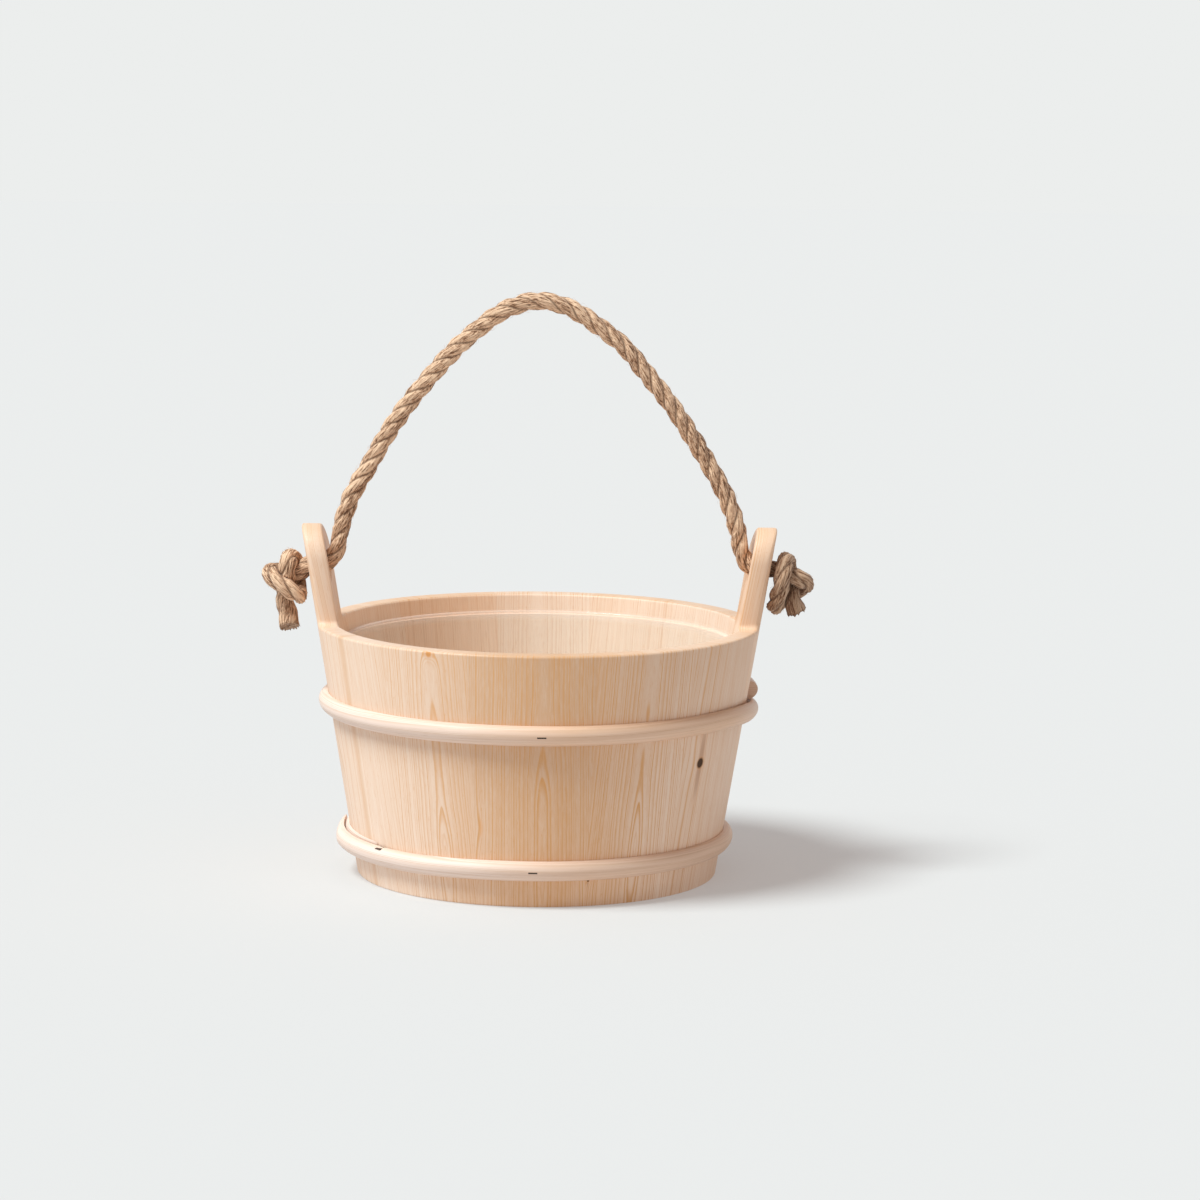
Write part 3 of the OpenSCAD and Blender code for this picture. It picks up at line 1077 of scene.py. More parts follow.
@dataclass(frozen=True)
class Rope:
    """Three-strand handle, laid to the right, that is knotted outside each ear."""

    wall: "Wall"
    diameter: float = 11.0
    strand_middle: float = 2.05
    strands: int = 3
    lay: float = 37.0
    arch_phase: float = 0.6
    knot_phase: float = 1.1
    yarns: int = 18
    yarn_turn: float = 0.8
    yarn_height: float = 0.24
    yarn_sink: float = 0.12
    yarn_step: float = 2.0
    yarn_wander: Pair = (0.9, 0.13)
    lumps: tuple[tuple[float, float, float, float], ...] = (
        (0.16, 0.21, 2.1, 0.0), (0.12, 0.47, 4.0, 1.0), (0.10, 1.13, 1.7, 0.0),
    )
    strand_squares: int = 28
    ring: float = 0.6
    line_steps: int = 16
    weld: float = 0.002
    fray_out: float = 0.4
    fray_along: float = 0.9
    tail_round: float = 0.8
    tail_yarn: float = 0.25
    tail_radius: float = 6.0
    tail_loose: Pair = (22.0, 9.0)
    tail_fray: float = 1.8
    hole_height: float = 184.0
    hole_mouth: float = 125.5
    heart_out: float = 151.0
    heart_drop: float = 10.0
    handle_route: tuple[Pair, ...] = (
        (-133, 0), (-130, 0), (-126, 1.2), (-122, 5.2), (-119.8, 12.5), (-117.6, 23), (-111.6, 41),
        (-101.5, 59), (-91.5, 77), (-79.5, 95), (-65, 113), (-48.5, 131), (-28, 148), (-15.5, 154.5),
        (-3, 157.5), (11, 155.5), (24, 149.5), (47.5, 132.5), (62.5, 115), (77, 97), (89, 79),
        (100.2, 61), (110.3, 43), (117.1, 25), (119.7, 13.5), (122, 5.5), (126, 1.2), (130, 0), (133, 0),
    )
    left_knot: tuple[Point, ...] = (
        (-17.5, 0, 10), (-13, 0, 8.5), (-7.5, -2, 4.6), (-0.5, -7, 3.5), (5.5, -7, 4), (9, -1, 4.2),
        (6.5, 6.5, 2), (0, 9.5, -2.5), (-7, 7, -7), (-9.5, -2.5, -8.5), (-8, -11.5, -3.5), (-6, -15.5, 3.5),
        (-4, -12.5, 10.5), (-2.5, -3.5, 13), (-1.6, 5, 10.3), (-0.8, 4.5, 3), (0.8, -1.5, -4.5), (1, -4, -12),
        (-1, -4, -20), (-2.5, 0, -28),
    )
    right_knot: tuple[Point, ...] = (
        (-17.5, 0, 10), (-13, 0, 9.5), (-6.5, -1, 7.5), (-0.3, -6, 5.8), (5, -6.5, 4), (8, -1, 1),
        (5.3, 6, -2.5), (-1.7, 8.5, -7.5), (-8.7, 5, -12), (-10.2, -5, -11.7), (-8.7, -11.5, -3.7),
        (-7.2, -14.5, 4.8), (-5.7, -11.5, 12), (-3.7, -3, 15), (-2.7, 4.5, 10.3), (-2, 5, 2.8),
        (-0.8, -2.5, -5), (0.8, -6.5, -11.5), (2.4, -6, -15.2),
    )
    # Painted shade for each knot: the right one lies in the ear's shadow
    knot_shades: Pair = (0.0, 0.4)
    hair: float = 0.07
    hair_corners: tuple[Pair, ...] = ((1.0, 0.0), (-0.5, 0.87), (-0.5, -0.87))
    hair_root: float = 1.2
    hair_tint: float = 3.0
    hair_reach: Pair = (0.7, 2.3)
    knee_out: float = 0.75
    knee_share: float = 0.8
    tip_out: float = 0.30
    tip_lean: float = 1.3
    tip_side: float = 0.7
    handle_hairs: int = 1500
    knot_hairs: int = 420
    bare_ends: float = 16.0
    press: float = 0.985
    same_turn: float = 1.7
    touching: float = 2.2
    swing: float = 102.0
    clearance: float = 0.1
    ear_reach: Pair = (7.5, 10.0)
    give: Pair = (0.4, 3.7)
    give_span: float = 8.0
    ear_half: float = 20.0
    arch_reach: Pair = (8.5, 11.0)
    arch_give: float = 2.5

    def handle_points(self) -> np.ndarray:
        """The arch from hole to hole."""
        return np.array([(x, 0.0, self.hole_height + up) for x, up in self.handle_route])

    def knot_points(self, side: Side) -> np.ndarray:
        """The knot outside one ear, from the hole to the end of its tail.

        Args:
            side: Which ear.

        Returns:
            The points in order.
        """
        out, forward, up = np.array(self.left_knot if side is Side.LEFT else self.right_knot, float).T
        heart = self.hole_height - self.heart_drop
        return np.stack([side.value * (self.heart_out + out), side.value * forward, heart + up], 1)

    def line(self, points: np.ndarray) -> np.ndarray:
        """A smooth line through points, with a place every ring.

        Args:
            points: The points in order.

        Returns:
            The places in order.
        """
        p = np.vstack([2 * points[0] - points[1], points, 2 * points[-1] - points[-2]])
        dense = []
        for a, b, c, d in zip(p[:-3], p[1:-2], p[2:-1], p[3:]):
            for t in np.linspace(0.0, 1.0, self.line_steps, endpoint=False):
                dense.append(0.5 * (2 * b + (c - a) * t + (2 * a - 5 * b + 4 * c - d) * t**2
                                    + (3 * b - a - 3 * c + d) * t**3))
        dense = np.array(dense + [points[-1]])
        way = np.concatenate([[0.0], np.cumsum(np.linalg.norm(np.diff(dense, axis=0), axis=1))])
        even = np.linspace(0.0, way[-1], int(way[-1] / self.ring) + 1)
        return np.stack([np.interp(even, way, dense[:, k]) for k in range(3)], 1)

    @staticmethod
    def frames(line: np.ndarray) -> tuple[np.ndarray, np.ndarray, np.ndarray]:
        """Directions along a line and across it that turn as little as possible.

        Args:
            line: The places in order.

        Returns:
            The directions ahead, to the first side and to the second side.
        """
        ahead = np.gradient(line, axis=0)
        ahead /= np.linalg.norm(ahead, axis=1)[:, None]
        first = np.empty_like(line)
        side = np.array([0.0, 1.0, 0.0])
        for i, way in enumerate(ahead):
            side = side - way * side.dot(way)
            side /= np.linalg.norm(side)
            first[i] = side
        return ahead, first, np.cross(ahead, first)

    def strand_profile(self, local: np.ndarray) -> np.ndarray:
        """Finds how far a strand's surface is from the rope's middle.

        Args:
            local: Angles from the strand's crest.

        Returns:
            The distances.
        """
        strand_radius = self.diameter / 2 - self.strand_middle
        sideways = self.strand_middle * np.sin(local)
        return self.strand_middle * np.cos(local) + np.sqrt(strand_radius**2 - sideways**2)

    def twist(self, name: str, line: np.ndarray, phase: float, tail: float = 0.0) -> bpy.types.Object:
        """Lays three strands along a line.

        Args:
            name: The piece's name.
            line: The places in order.
            phase: The angle at which the first strand starts.
            tail: Length of the loosened tail of a knot, which is also pressed against itself.

        Returns:
            The piece.
        """
        rings = len(line) - 1
        columns = self.strands * self.strand_squares
        thing, round_share, long_share = rolled_sheet(name, columns, rings)
        index = np.rint(long_share * rings).astype(int)
        column = np.rint(round_share * columns).astype(int) % columns
        way = index * np.linalg.norm(np.diff(line, axis=0), axis=1).mean()
        strand = column // self.strand_squares
        pitch = math.tau / self.strands
        local = (column / self.strand_squares - strand - 0.5) * pitch
        flat_angle = math.tau * column / columns
        turn = math.tau * way / self.lay
        crest, valley = self.strand_profile(np.array([0.0, pitch / 2]))
        radius = self.strand_profile(local)
        depth = (crest - radius) / (crest - valley)
        yarn_angle = flat_angle + self.yarn_turn * turn
        wander, pace = self.yarn_wander
        step = self.yarn_step * strand
        ridge = np.cos(self.yarns * yarn_angle + step + wander * np.sin(way * pace + step))
        lumps = sum(up * np.sin(way * pace + shift * strand + start) for up, pace, shift, start in self.lumps)
        radius = radius + (1.0 - depth) * (lumps - self.yarn_sink + self.yarn_height * ridge)
        uneven = np.random.default_rng(len(name)).uniform(-1.0, 1.0, columns)[column]
        end = (way.max() - way) if tail else np.full(len(way), np.inf)
        loose = ease(1.0 - end / (tail or 1.0))
        fray = ease(1.0 - end / self.tail_fray)
        rounder = self.tail_round * loose * (self.tail_radius - radius)
        radius = radius + rounder + self.tail_yarn * loose * ridge + self.fray_out * fray * uneven
        angle = flat_angle + turn + phase
        ahead, first, second = self.frames(line)
        out = np.cos(angle)[:, None] * first[index] + np.sin(angle)[:, None] * second[index]
        if tail:
            radius = self.pressed(line, index, out, radius)
        beyond = self.fray_along * fray * uneven
        places = line[index] + radius[:, None] * out + beyond[:, None] * ahead[index]
        move_corners(thing, self.eased_off(places) if tail else self.drawn_in(places))
        mark(thing, "lay", np.stack([radius * np.cos(yarn_angle), radius * np.sin(yarn_angle), way], 1))
        # How deep each corner lies between strands, for the painted valley shade
        mark(thing, "hollow", depth * (1.0 - loose))
        mark(thing, "fray", fray)
        close_up(thing, self.weld)
        smooth(thing, ROPE_CREASE)
        return thing

    def pressed(self, line: np.ndarray, index: np.ndarray, out: np.ndarray, radius: np.ndarray) -> np.ndarray:
        """Flattens a rope where it lies against another turn of itself.

        Args:
            line: The places along the rope.
            index: The place that each corner belongs to.
            out: The direction of each corner from its place.
            radius: The distance of each corner from its place.

        Returns:
            The new distances.
        """
        apart = int(self.same_turn * self.diameter / self.ring)
        limit = np.full(len(radius), np.inf)
        order = np.arange(len(line))
        for i in order:
            mine = np.nonzero(index == i)[0]
            others = line[np.abs(order - i) > apart] - line[i]
            near = others[np.linalg.norm(others, axis=1) < self.touching * self.diameter]
            if not len(near):
                continue
            facing = out[mine] @ near.T
            room = np.where(facing > TINY, (near**2).sum(1) / (2.0 * np.maximum(facing, TINY)), np.inf)
            limit[mine] = room.min(1)
        return np.minimum(radius, self.press * limit)

    def eased_off(self, places: np.ndarray) -> np.ndarray:
        """Flattens a knot towards its ear, more so behind, so that it passes the ear when the handle swings.

        Args:
            places: The corners of the knot.

        Returns:
            Their new places.
        """
        x, y, up = places[:, 0], places[:, 1], places[:, 2] - self.hole_height
        reach = np.hypot(y, up)
        still = np.maximum(np.abs(np.arctan2(y, up)) - math.radians(self.swing), 0.0)
        needed = self.wall.outer(self.hole_height + reach * np.cos(still)) + self.clearance
        most = blend(*self.give, y / self.give_span + 0.5)
        low, high = self.ear_reach
        push = np.clip(needed - np.abs(x), 0.0, most) * ease((reach - low) / (high - low))
        return np.stack([x + np.sign(x) * push, y, places[:, 2]], 1)

    def drawn_in(self, places: np.ndarray) -> np.ndarray:
        """Flattens the arch beside each ear, so that it passes the ear's inner face when the handle swings.

        Args:
            places: The corners of the arch.

        Returns:
            Their new places.
        """
        x, y, up = places[:, 0], places[:, 1], places[:, 2] - self.hole_height
        reach = np.hypot(y, up)
        turn = np.minimum(np.abs(np.arctan2(y, up)) + math.radians(self.swing), math.pi)
        near = np.minimum(reach, self.ear_half)
        inner = self.wall.inner(self.hole_height + near * np.cos(turn))
        face = np.sqrt(inner**2 - (near * np.sin(turn)) ** 2)
        low, high = self.arch_reach
        needed = np.clip(np.abs(x) - face + self.clearance, 0.0, self.arch_give)
        push = needed * ease((reach - low) / (high - low))
        return np.stack([x - np.sign(x) * push, y, places[:, 2]], 1)

    def fuzz(self, thing: bpy.types.Object, line: np.ndarray, count: int, bare: float) -> None:
        """Adds loose fibres that stand off a rope.

        Args:
            thing: The rope.
            line: The places along it.
            count: How many fibres there are.
            bare: Length at its start without any.
        """
        rng = np.random.default_rng(count)
        ahead, first, second = self.frames(line)
        skip = int(bare / self.ring)
        is_knot = "knot" in thing.name
        root = rng.integers(skip, len(line) - (1 if is_knot else skip), count)
        turn = rng.uniform(0.0, math.tau, count)
        out = np.cos(turn)[:, None] * first[root] + np.sin(turn)[:, None] * second[root]
        lean = rng.uniform(-1.0, 1.0, count)[:, None] * ahead[root]
        side = np.cross(out, ahead[root])
        reach = rng.uniform(*self.hair_reach, count)[:, None]
        sway = rng.uniform(-self.tip_side, self.tip_side, count)[:, None] * side
        start = line[root] + out * (self.diameter / 2 - self.hair_root)
        knee = start + (self.knee_out * out + lean) * reach
        tip = knee + (self.tip_out * out + self.tip_lean * lean + sway) * reach
        spokes = [across * side + away * out for across, away in self.hair_corners]
        thick, thin = self.hair, self.knee_share * self.hair
        places = np.stack([*(start + thick * s for s in spokes), *(knee + thin * s for s in spokes), tip], 1)
        pattern = [(0, 1, 4, 3), (1, 2, 5, 4), (2, 0, 3, 5), (3, 4, 6), (4, 5, 6), (5, 3, 6), (2, 1, 0)]
        corners_each = places.shape[1]
        faces = [tuple(corners_each * k + c for c in face) for k in range(count) for face in pattern]
        flat = places.reshape(-1, 3)
        settled = self.eased_off(flat) if is_knot else self.drawn_in(flat)
        mesh = bpy.data.meshes.new("fibres")
        mesh.from_pydata((settled * MM).tolist(), [], faces)
        hairs = bpy.data.objects.new("fibres", mesh)
        bpy.context.scene.collection.objects.link(hairs)
        lay = np.stack([turn * self.hair_tint, turn, root * self.ring], 1)
        mark(hairs, "lay", np.repeat(lay, corners_each, 0))
        with on_bench(hairs):
            face_outwards()
        take(thing, hairs)
        bpy.ops.object.join()

    def make(self, finish: bpy.types.Material) -> None:
        """Args:
            finish: The rope's material.
        """
        line = self.line(self.handle_points())
        arch = self.twist("rope_handle_laid", line, self.arch_phase)
        self.fuzz(arch, line, self.handle_hairs, self.bare_ends)
        hand_over(arch, Body.HANDLE, Slot.ROPE, finish, "rope_handle")
        for side, tail, stain in zip(Side, self.tail_loose, self.knot_shades):
            word = side.name.lower()
            route = self.line(self.knot_points(side))
            knot = self.twist(f"rope_knot_{word}_laid", route, self.knot_phase, tail)
            # Painted shade, darker on the knot that lies in the ear's shadow
            mark(knot, "stain", np.full(len(knot.data.vertices), stain))
            self.fuzz(knot, route, self.knot_hairs, self.bare_ends)
            hand_over(knot, Body.HANDLE, Slot.ROPE, finish, f"rope_knot_{word}")


# Staves, ears and base


@dataclass(frozen=True)
class Knot:
    """A branch knot or a resin streak that shows on a stave."""

    angle: float
    height: float
    half_width: float
    half_height: float
    strength: float


@dataclass(frozen=True)
class StaveCut:
    """One stave: its place in the wall, and where it was sawn from the log."""

    name: str
    first: float
    last: float
    pith_across: float
    pith_depth: float
    lean: float
    tone: float
    knots: tuple[Knot, ...] = ()
    # How strong the painted shade towards the stave's top is
    top_shading: float = 1.2
    calm: float = 0.0
    flat_sawn: bool = False


@dataclass(frozen=True)
class Wall:
    """The tapered wall of staves."""

    foot_d: float = 215.0
    rim_d: float = 264.0
    height: float = 150.0
    thickness: float = 12.0
    ledge_w: float = 2.5
    ledge_depth: float = 12.0
    rim_round: float = 1.5
    rim_steps: int = 5
    foot_round: float = 0.8
    foot_steps: int = 4
    base_up: float = 12.0
    base_t: float = 12.0
    groove_depth: float = 5.0
    skin: float = 0.3
    inside_calm: float = 0.62
    # Share of the painted light on the inner faces above the ledge; below it the share is whole
    inside_light_share: float = 0.5
    inside_knots: float = 0.1
    bare_rim: float = 0.4
    # Tone by angle round the outer wall: partly the staves' own, and partly painted light, palest on the left
    # where the key light falls
    tones: tuple[Pair, ...] = (
        (-180, 0.4), (-105, 0.5), (-90, 0.4), (-75, 0.1), (-62.2, 0.04), (-60.8, 1.0), (-59.4, 0.02),
        (-41, 0.2), (-28, 0.4), (-18, 0.66), (-10, 0.85), (6, 1.0), (22, 0.74), (42, 0.3), (58, 0.26),
        (75, 0.4), (105, 0.46), (180, 0.4),
    )
    # Painted bounce light: how orange the inner faces are by angle, most on the shaded left
    inside_bounce_tones: tuple[Pair, ...] = (
        (-180, 0.2), (-150, 0.45), (-105, 0.5), (-60, 0.1), (0, 0.0), (150, 0.0), (180, 0.2),
    )
    step: float = 1.25

    def outer(self, z: np.ndarray | float) -> np.ndarray | float:
        """Outer radius at a height."""
        return self.foot_d / 2 + (self.rim_d - self.foot_d) / 2 / self.height * z

    def inner(self, z: np.ndarray | float) -> np.ndarray | float:
        """Inner radius at a height above the ledge."""
        return self.outer(z) - self.thickness

    def lower_inner(self, z: np.ndarray | float) -> np.ndarray | float:
        """Inner radius at a height below the ledge."""
        return self.inner(z) - self.ledge_w

    @property
    def ledge(self) -> float:
        """Height of the ledge."""
        return self.height - self.ledge_depth

    @property
    def base_top(self) -> float:
        """Height of the base's upper side."""
        return self.base_up + self.base_t

    @property
    def groove(self) -> float:
        """Radius of the groove for the base."""
        return self.lower_inner(self.base_up) + self.groove_depth

    def section(self) -> list[Pair]:
        """Outline of a stave's cross-section.

        Returns:
            Its corners as radius and height.
        """
        top, low = self.rim_round, self.foot_round
        return [
            (self.lower_inner(0), 0),
            *arc((self.outer(low) - low, low), low, -90, 0, self.foot_steps),
            *arc((self.outer(self.height - top) - top, self.height - top), top, 0, 90, self.rim_steps),
            *arc((self.inner(self.height - top) + top, self.height - top), top, 90, 180, self.rim_steps),
            (self.inner(self.ledge), self.ledge),
            (self.lower_inner(self.ledge), self.ledge),
            (self.lower_inner(self.base_top), self.base_top),
            (self.groove, self.base_top),
            (self.groove, self.base_up),
            (self.lower_inner(self.base_up), self.base_up),
        ]

    def lay_grain(self, thing: bpy.types.Object, cut: StaveCut, number: int) -> None:
        """Runs the log's year rings through a stave.

        Args:
            thing: The stave.
            cut: Where it was sawn.
            number: Its number, which sets it apart from its neighbours.
        """
        places = corners(thing)
        middle = (cut.first + cut.last) / 2
        side = np.array([*round_place(1.0, middle + 90), 0.0])
        ahead = np.array([*round_place(1.0, middle), 0.0])
        across, outwards, height = places @ side, places @ ahead, places[:, 2]
        flare = self.outer(1) - self.outer(0)
        depth = cut.pith_depth + self.outer(0) - outwards + (cut.lean + flare) * height
        log = [across - cut.pith_across, depth]
        log = log[::-1] if cut.flat_sawn else log
        mark(thing, "grain", np.stack([*log, height + LOG_APART * number], 1))
        radius = np.hypot(places[:, 0], places[:, 1])
        below = radius < self.lower_inner(height) + self.skin
        inside = (radius < self.inner(height) + self.skin) & (height < self.height)
        angle = np.degrees(np.arctan2(places[:, 0], -places[:, 1]))
        outer, inner = (np.interp(angle, *zip(*tones)) for tones in (self.tones, self.inside_bounce_tones))
        mark(thing, "tone", np.where(inside, inner, outer) + cut.tone)
        # Painted light on the inner faces: whole below the ledge, a share above it
        mark(thing, "inside", np.where(below, 1.0, np.where(inside, self.inside_light_share, 0.0)))
        # Painted shade on the outer faces, growing towards the rim
        mark(thing, "age", np.where(inside, 0.0, cut.top_shading * ease(height / self.height)))
        mark(thing, "calm", np.where(inside, self.inside_calm, cut.calm))
        for name, knot in zip(KNOT_MARKS, cut.knots):
            turn = math.radians(knot.angle - middle)
            where = self.outer(knot.height) * math.sin(turn)
            spread = (across - where) / knot.half_width, (height - knot.height) / knot.half_height
            outside = np.where(height > self.height - self.bare_rim, 0.0, 1.0)
            shown = np.where(inside, self.inside_knots, outside)
            mark(thing, name, np.stack([*spread, shown * knot.strength], 1))


@dataclass(frozen=True)
class Staves:
    """The ten plain staves."""

    wall: Wall
    # For each: the angles of both edges, the pith's place across and in depth, the lean and the tone
    cuts: tuple[StaveCut, ...] = (
        StaveCut("stave_front_1", -75, -43, 58.0, 16.0, 0.05, 0.03, calm=0.5),
        StaveCut("stave_front_2", -43, -18, 5.2, -2.4, 0.085, -0.03,
                 (Knot(-28.4, 148.4, 1.9, 2.1, 0.3),), calm=0.25),
        StaveCut("stave_front_3", -18, 15, 6.2, -2.0, 0.085, -0.1,
                 (Knot(-16.1, 46.9, 1.0, 5.5, 0.13),), top_shading=1.7),
        StaveCut("stave_front_4", 15, 44, 1.0, -3.4, 0.085, -0.08,
                 (Knot(15.7, 15.5, 0.8, 0.8, 0.8), Knot(30.7, 78.0, 4.0, 12.0, 0.01))),
        StaveCut("stave_front_5", 44, 75, 62.0, 14.0, 0.04, 0.04,
                 (Knot(51.7, 79.2, 3.4, 3.7, 1.0),), calm=0.3),
        StaveCut("stave_back_1", 105, 136, -9.0, 12.0, 0.06, -0.05),
        StaveCut("stave_back_2", 136, 164, 54.0, 18.0, 0.03, 0.1),
        StaveCut("stave_back_3", 164, 193, 4.0, 9.0, 0.09, -0.06,
                 (Knot(176.0, 62.0, 3.2, 3.4, 0.45),)),
        StaveCut("stave_back_4", 193, 226, -60.0, 12.0, 0.04, 0.16),
        StaveCut("stave_back_5", 226, 255, -3.0, 15.0, -0.05, -0.1),
    )

    def make(self, finish: bpy.types.Material) -> None:
        """Makes the staves.

        Args:
            finish: The staves' material.
        """
        for number, cut in enumerate(self.cuts):
            angle = cut.last - cut.first
            steps = round(angle / self.wall.step)
            stave = turned(cut.name + "_planed", self.wall.section(), cut.first, angle, steps)
            smooth(stave)
            self.wall.lay_grain(stave, cut, number)
            hand_over(stave, Body.BUCKET, Slot.STAVES, finish, cut.name)


@dataclass(frozen=True)
class EarStaves:
    """The two staves that rise into ears with a rope hole."""

    wall: Wall
    half_angle: float = 15.0
    height: float = 58.0
    width: float = 40.0
    round_steps: int = 20
    fillet: float = 3.0
    fillet_steps: int = 8
    hole_up: float = 34.0
    hole_d: float = 14.0
    hole_sides: int = 48
    inner_mouth: tuple[Pair, ...] = (
        (-9.0, 12.0), (-3.0, 6.0), (0.0, 2.6), (1.6, 0.9), (3.0, 0.15), (4.5, 0.0),
    )
    outer_mouth: tuple[Pair, ...] = ((-1.2, 0.0), (-0.3, 0.35), (0.3, 1.2), (8.0, 6.0))
    cutter_depth: float = 12.0
    cutter_margin: float = 4.0
    cutter_steps: int = 38
    arris: float = 3.2
    arris_steps: int = 5
    arris_profile: float = 0.4
    small_arris: float = 1.2
    small_from: float = 2.0
    strip: float = 2.0
    strip_shift: float = 0.03
    below_rim: float = 4.0
    above_fillet: float = 3.0
    below_round: float = 1.0
    first_log: int = 20
    cuts: tuple[StaveCut, ...] = (
        StaveCut("ear_stave_left", -105, -75, 2.0, 31.0, 0.05, 0.17, top_shading=0.2, calm=0.3, flat_sawn=True),
        StaveCut("ear_stave_right", 75, 105, -3.0, 37.0, 0.04, 0.2, top_shading=0.2, calm=0.3, flat_sawn=True),
    )

    @property
    def top(self) -> float:
        """Height of the ear's top above the foot."""
        return self.wall.height + self.height

    def edge(self, radius: np.ndarray | float) -> np.ndarray | float:
        """Half the width of the stave at a radius."""
        return radius * math.sin(math.radians(self.half_angle))

    def outline(self) -> list[Pair]:
        """Right half of the outline seen from outside, from the foot to the top.

        Returns:
            Its corners as width and height.
        """
        half, rim, fillet = self.width / 2, self.wall.height, self.fillet
        return [
            (self.edge(self.wall.outer(0)), 0),
            (self.edge(self.wall.outer(rim)), rim),
            *arc((half + fillet, rim + fillet), fillet, -90, -180, self.fillet_steps),
            *arc((0, self.top - half), half, 0, 90, self.round_steps),
        ]

    def plate(self, name: str) -> bpy.types.Object:
        """The stave as a flat plate, with its arrises taken off.

        Args:
            name: The piece's name.

        Returns:
            The piece.
        """
        half = self.outline()
        whole = half + [(-y, z) for y, z in half[-2::-1]]
        plate = flat_shape(name, [(0.0, y, z) for y, z in whole])
        rim, thick = self.wall.height, self.wall.thickness
        heights = (self.wall.ledge, rim - self.below_rim, rim + self.fillet + self.above_fillet,
                   self.top - self.width / 2 - self.below_round)
        with on_bench(plate):
            pick_all()
            draw_out(-thick)
            face_outwards()
            self.weigh_arrises(plate)
        apply(plate, "BEVEL", width=self.arris * MM, segments=self.arris_steps, profile=self.arris_profile,
              limit_method="WEIGHT", use_clamp_overlap=False)
        with on_bench(plate):
            pick(plate, Part.EDGES, lambda edge: max(abs(v.co.z) + abs(v.co.x) for v in edge.verts) < TINY)
            bevel(self.wall.foot_round, self.wall.foot_steps)
            strips = int(self.edge(self.wall.outer(rim)) / self.strip)
            for k in range(-strips, strips + 1):
                saw((0, k * self.strip + self.strip_shift, 0), (0, 1, 0))
            for z in heights:
                saw((0, 0, z), (0, 0, 1))
            pick(plate, Part.FACES, lambda face: face.normal.x < -FACING
                 and face.calc_center_median().z < self.wall.ledge * MM)
            draw_out(-self.wall.ledge_w)
        return plate

    def weigh_arrises(self, plate: bpy.types.Object) -> None:
        """Sets how far each arris is rounded: as much as the rim along it, and most on the ear's outer sides.

        Args:
            plate: The flat plate, on the bench.
        """
        solid = bmesh.from_edit_mesh(plate.data)
        weight = solid.edges.layers.float.new("bevel_weight_edge")
        rim, small = self.wall.rim_round / self.arris, self.small_arris / self.arris
        half = self.width / 2
        for edge in filter(self.is_arris, solid.edges):
            up = sum(v.co.z for v in edge.verts) / 2 / MM - self.wall.height
            most = small
            if edge.verts[0].co.x > -TINY:
                most = float(blend(1.0, small, (up - self.height + half) / (half - self.small_from)))
            edge[weight] = float(blend(rim, most, up / self.fillet))
        bmesh.update_edit_mesh(plate.data)

    def is_arris(self, edge: bmesh.types.BMEdge) -> bool:
        """Tells whether an edge of the plate runs round the ear or the rim.

        Args:
            edge: The edge.

        Returns:
            Whether it does.
        """
        if min(v.co.z for v in edge.verts) < self.wall.height * MM - TINY or len(edge.link_faces) != 2:
            return False
        return sum(abs(face.normal.x) > FACING for face in edge.link_faces) == 1

    def wrap(self, plate: bpy.types.Object, side: Side) -> None:
        """Bends the plate round the bucket.

        Args:
            plate: The flat plate.
            side: Which ear it becomes.
        """
        depth, y, z = corners(plate).T
        half = self.width / 2
        outer = self.wall.outer(z)
        radius = outer + depth
        shrink = (self.edge(radius) - half) / (self.edge(outer) - half)
        beyond = np.maximum(np.abs(y) - half, 0.0)
        y = np.sign(y) * (np.minimum(np.abs(y), half) + beyond * shrink)
        x = np.sqrt(radius**2 - y**2)
        move_corners(plate, np.stack([side.value * x, side.value * y, z], 1))

    def hole_cutter(self, side: Side) -> bpy.types.Object:
        """The shape of the rope hole, flared at both mouths.

        Args:
            side: Which ear it is for.

        Returns:
            The cutter.
        """
        height = self.wall.height + self.hole_up
        faces = ((self.wall.inner(height), self.inner_mouth), (self.wall.outer(height), self.outer_mouth))
        steps = [(face + x, self.hole_d / 2 + wider) for face, mouth in faces for x, wider in mouth]
        steps = [(steps[0][0], 0), *steps, (steps[-1][0], 0)]
        outline = [(side.value * x, 0, height + up) for x, up in steps]
        return lathed("hole_cutter", outline, (0, 0, height), (1, 0, 0), self.hole_sides)

    def groove_cutter(self, side: Side) -> bpy.types.Object:
        """The ring that cuts the groove for the base.

        Args:
            side: Which ear it is for.

        Returns:
            The cutter.
        """
        low, high, far = self.wall.base_up, self.wall.base_top, self.wall.groove
        near, half = far - self.cutter_depth, self.half_angle + self.cutter_margin
        section = [(near, low), (far, low), (far, high), (near, high)]
        return turned("groove_cutter", section, side.value * 90 - half, 2 * half, self.cutter_steps)

    def make(self, finish: bpy.types.Material) -> None:
        """Makes both ear staves.

        Args:
            finish: The staves' material.
        """
        for number, (cut, side) in enumerate(zip(self.cuts, Side), start=self.first_log):
            stave = self.plate(cut.name + "_planed")
            self.wrap(stave, side)
            close_up(stave)
            cut_away(stave, self.hole_cutter(side), self.groove_cutter(side))
            close_up(stave)
            smooth(stave)
            self.wall.lay_grain(stave, cut, number)
            hand_over(stave, Body.BUCKET, Slot.STAVES, finish, cut.name)


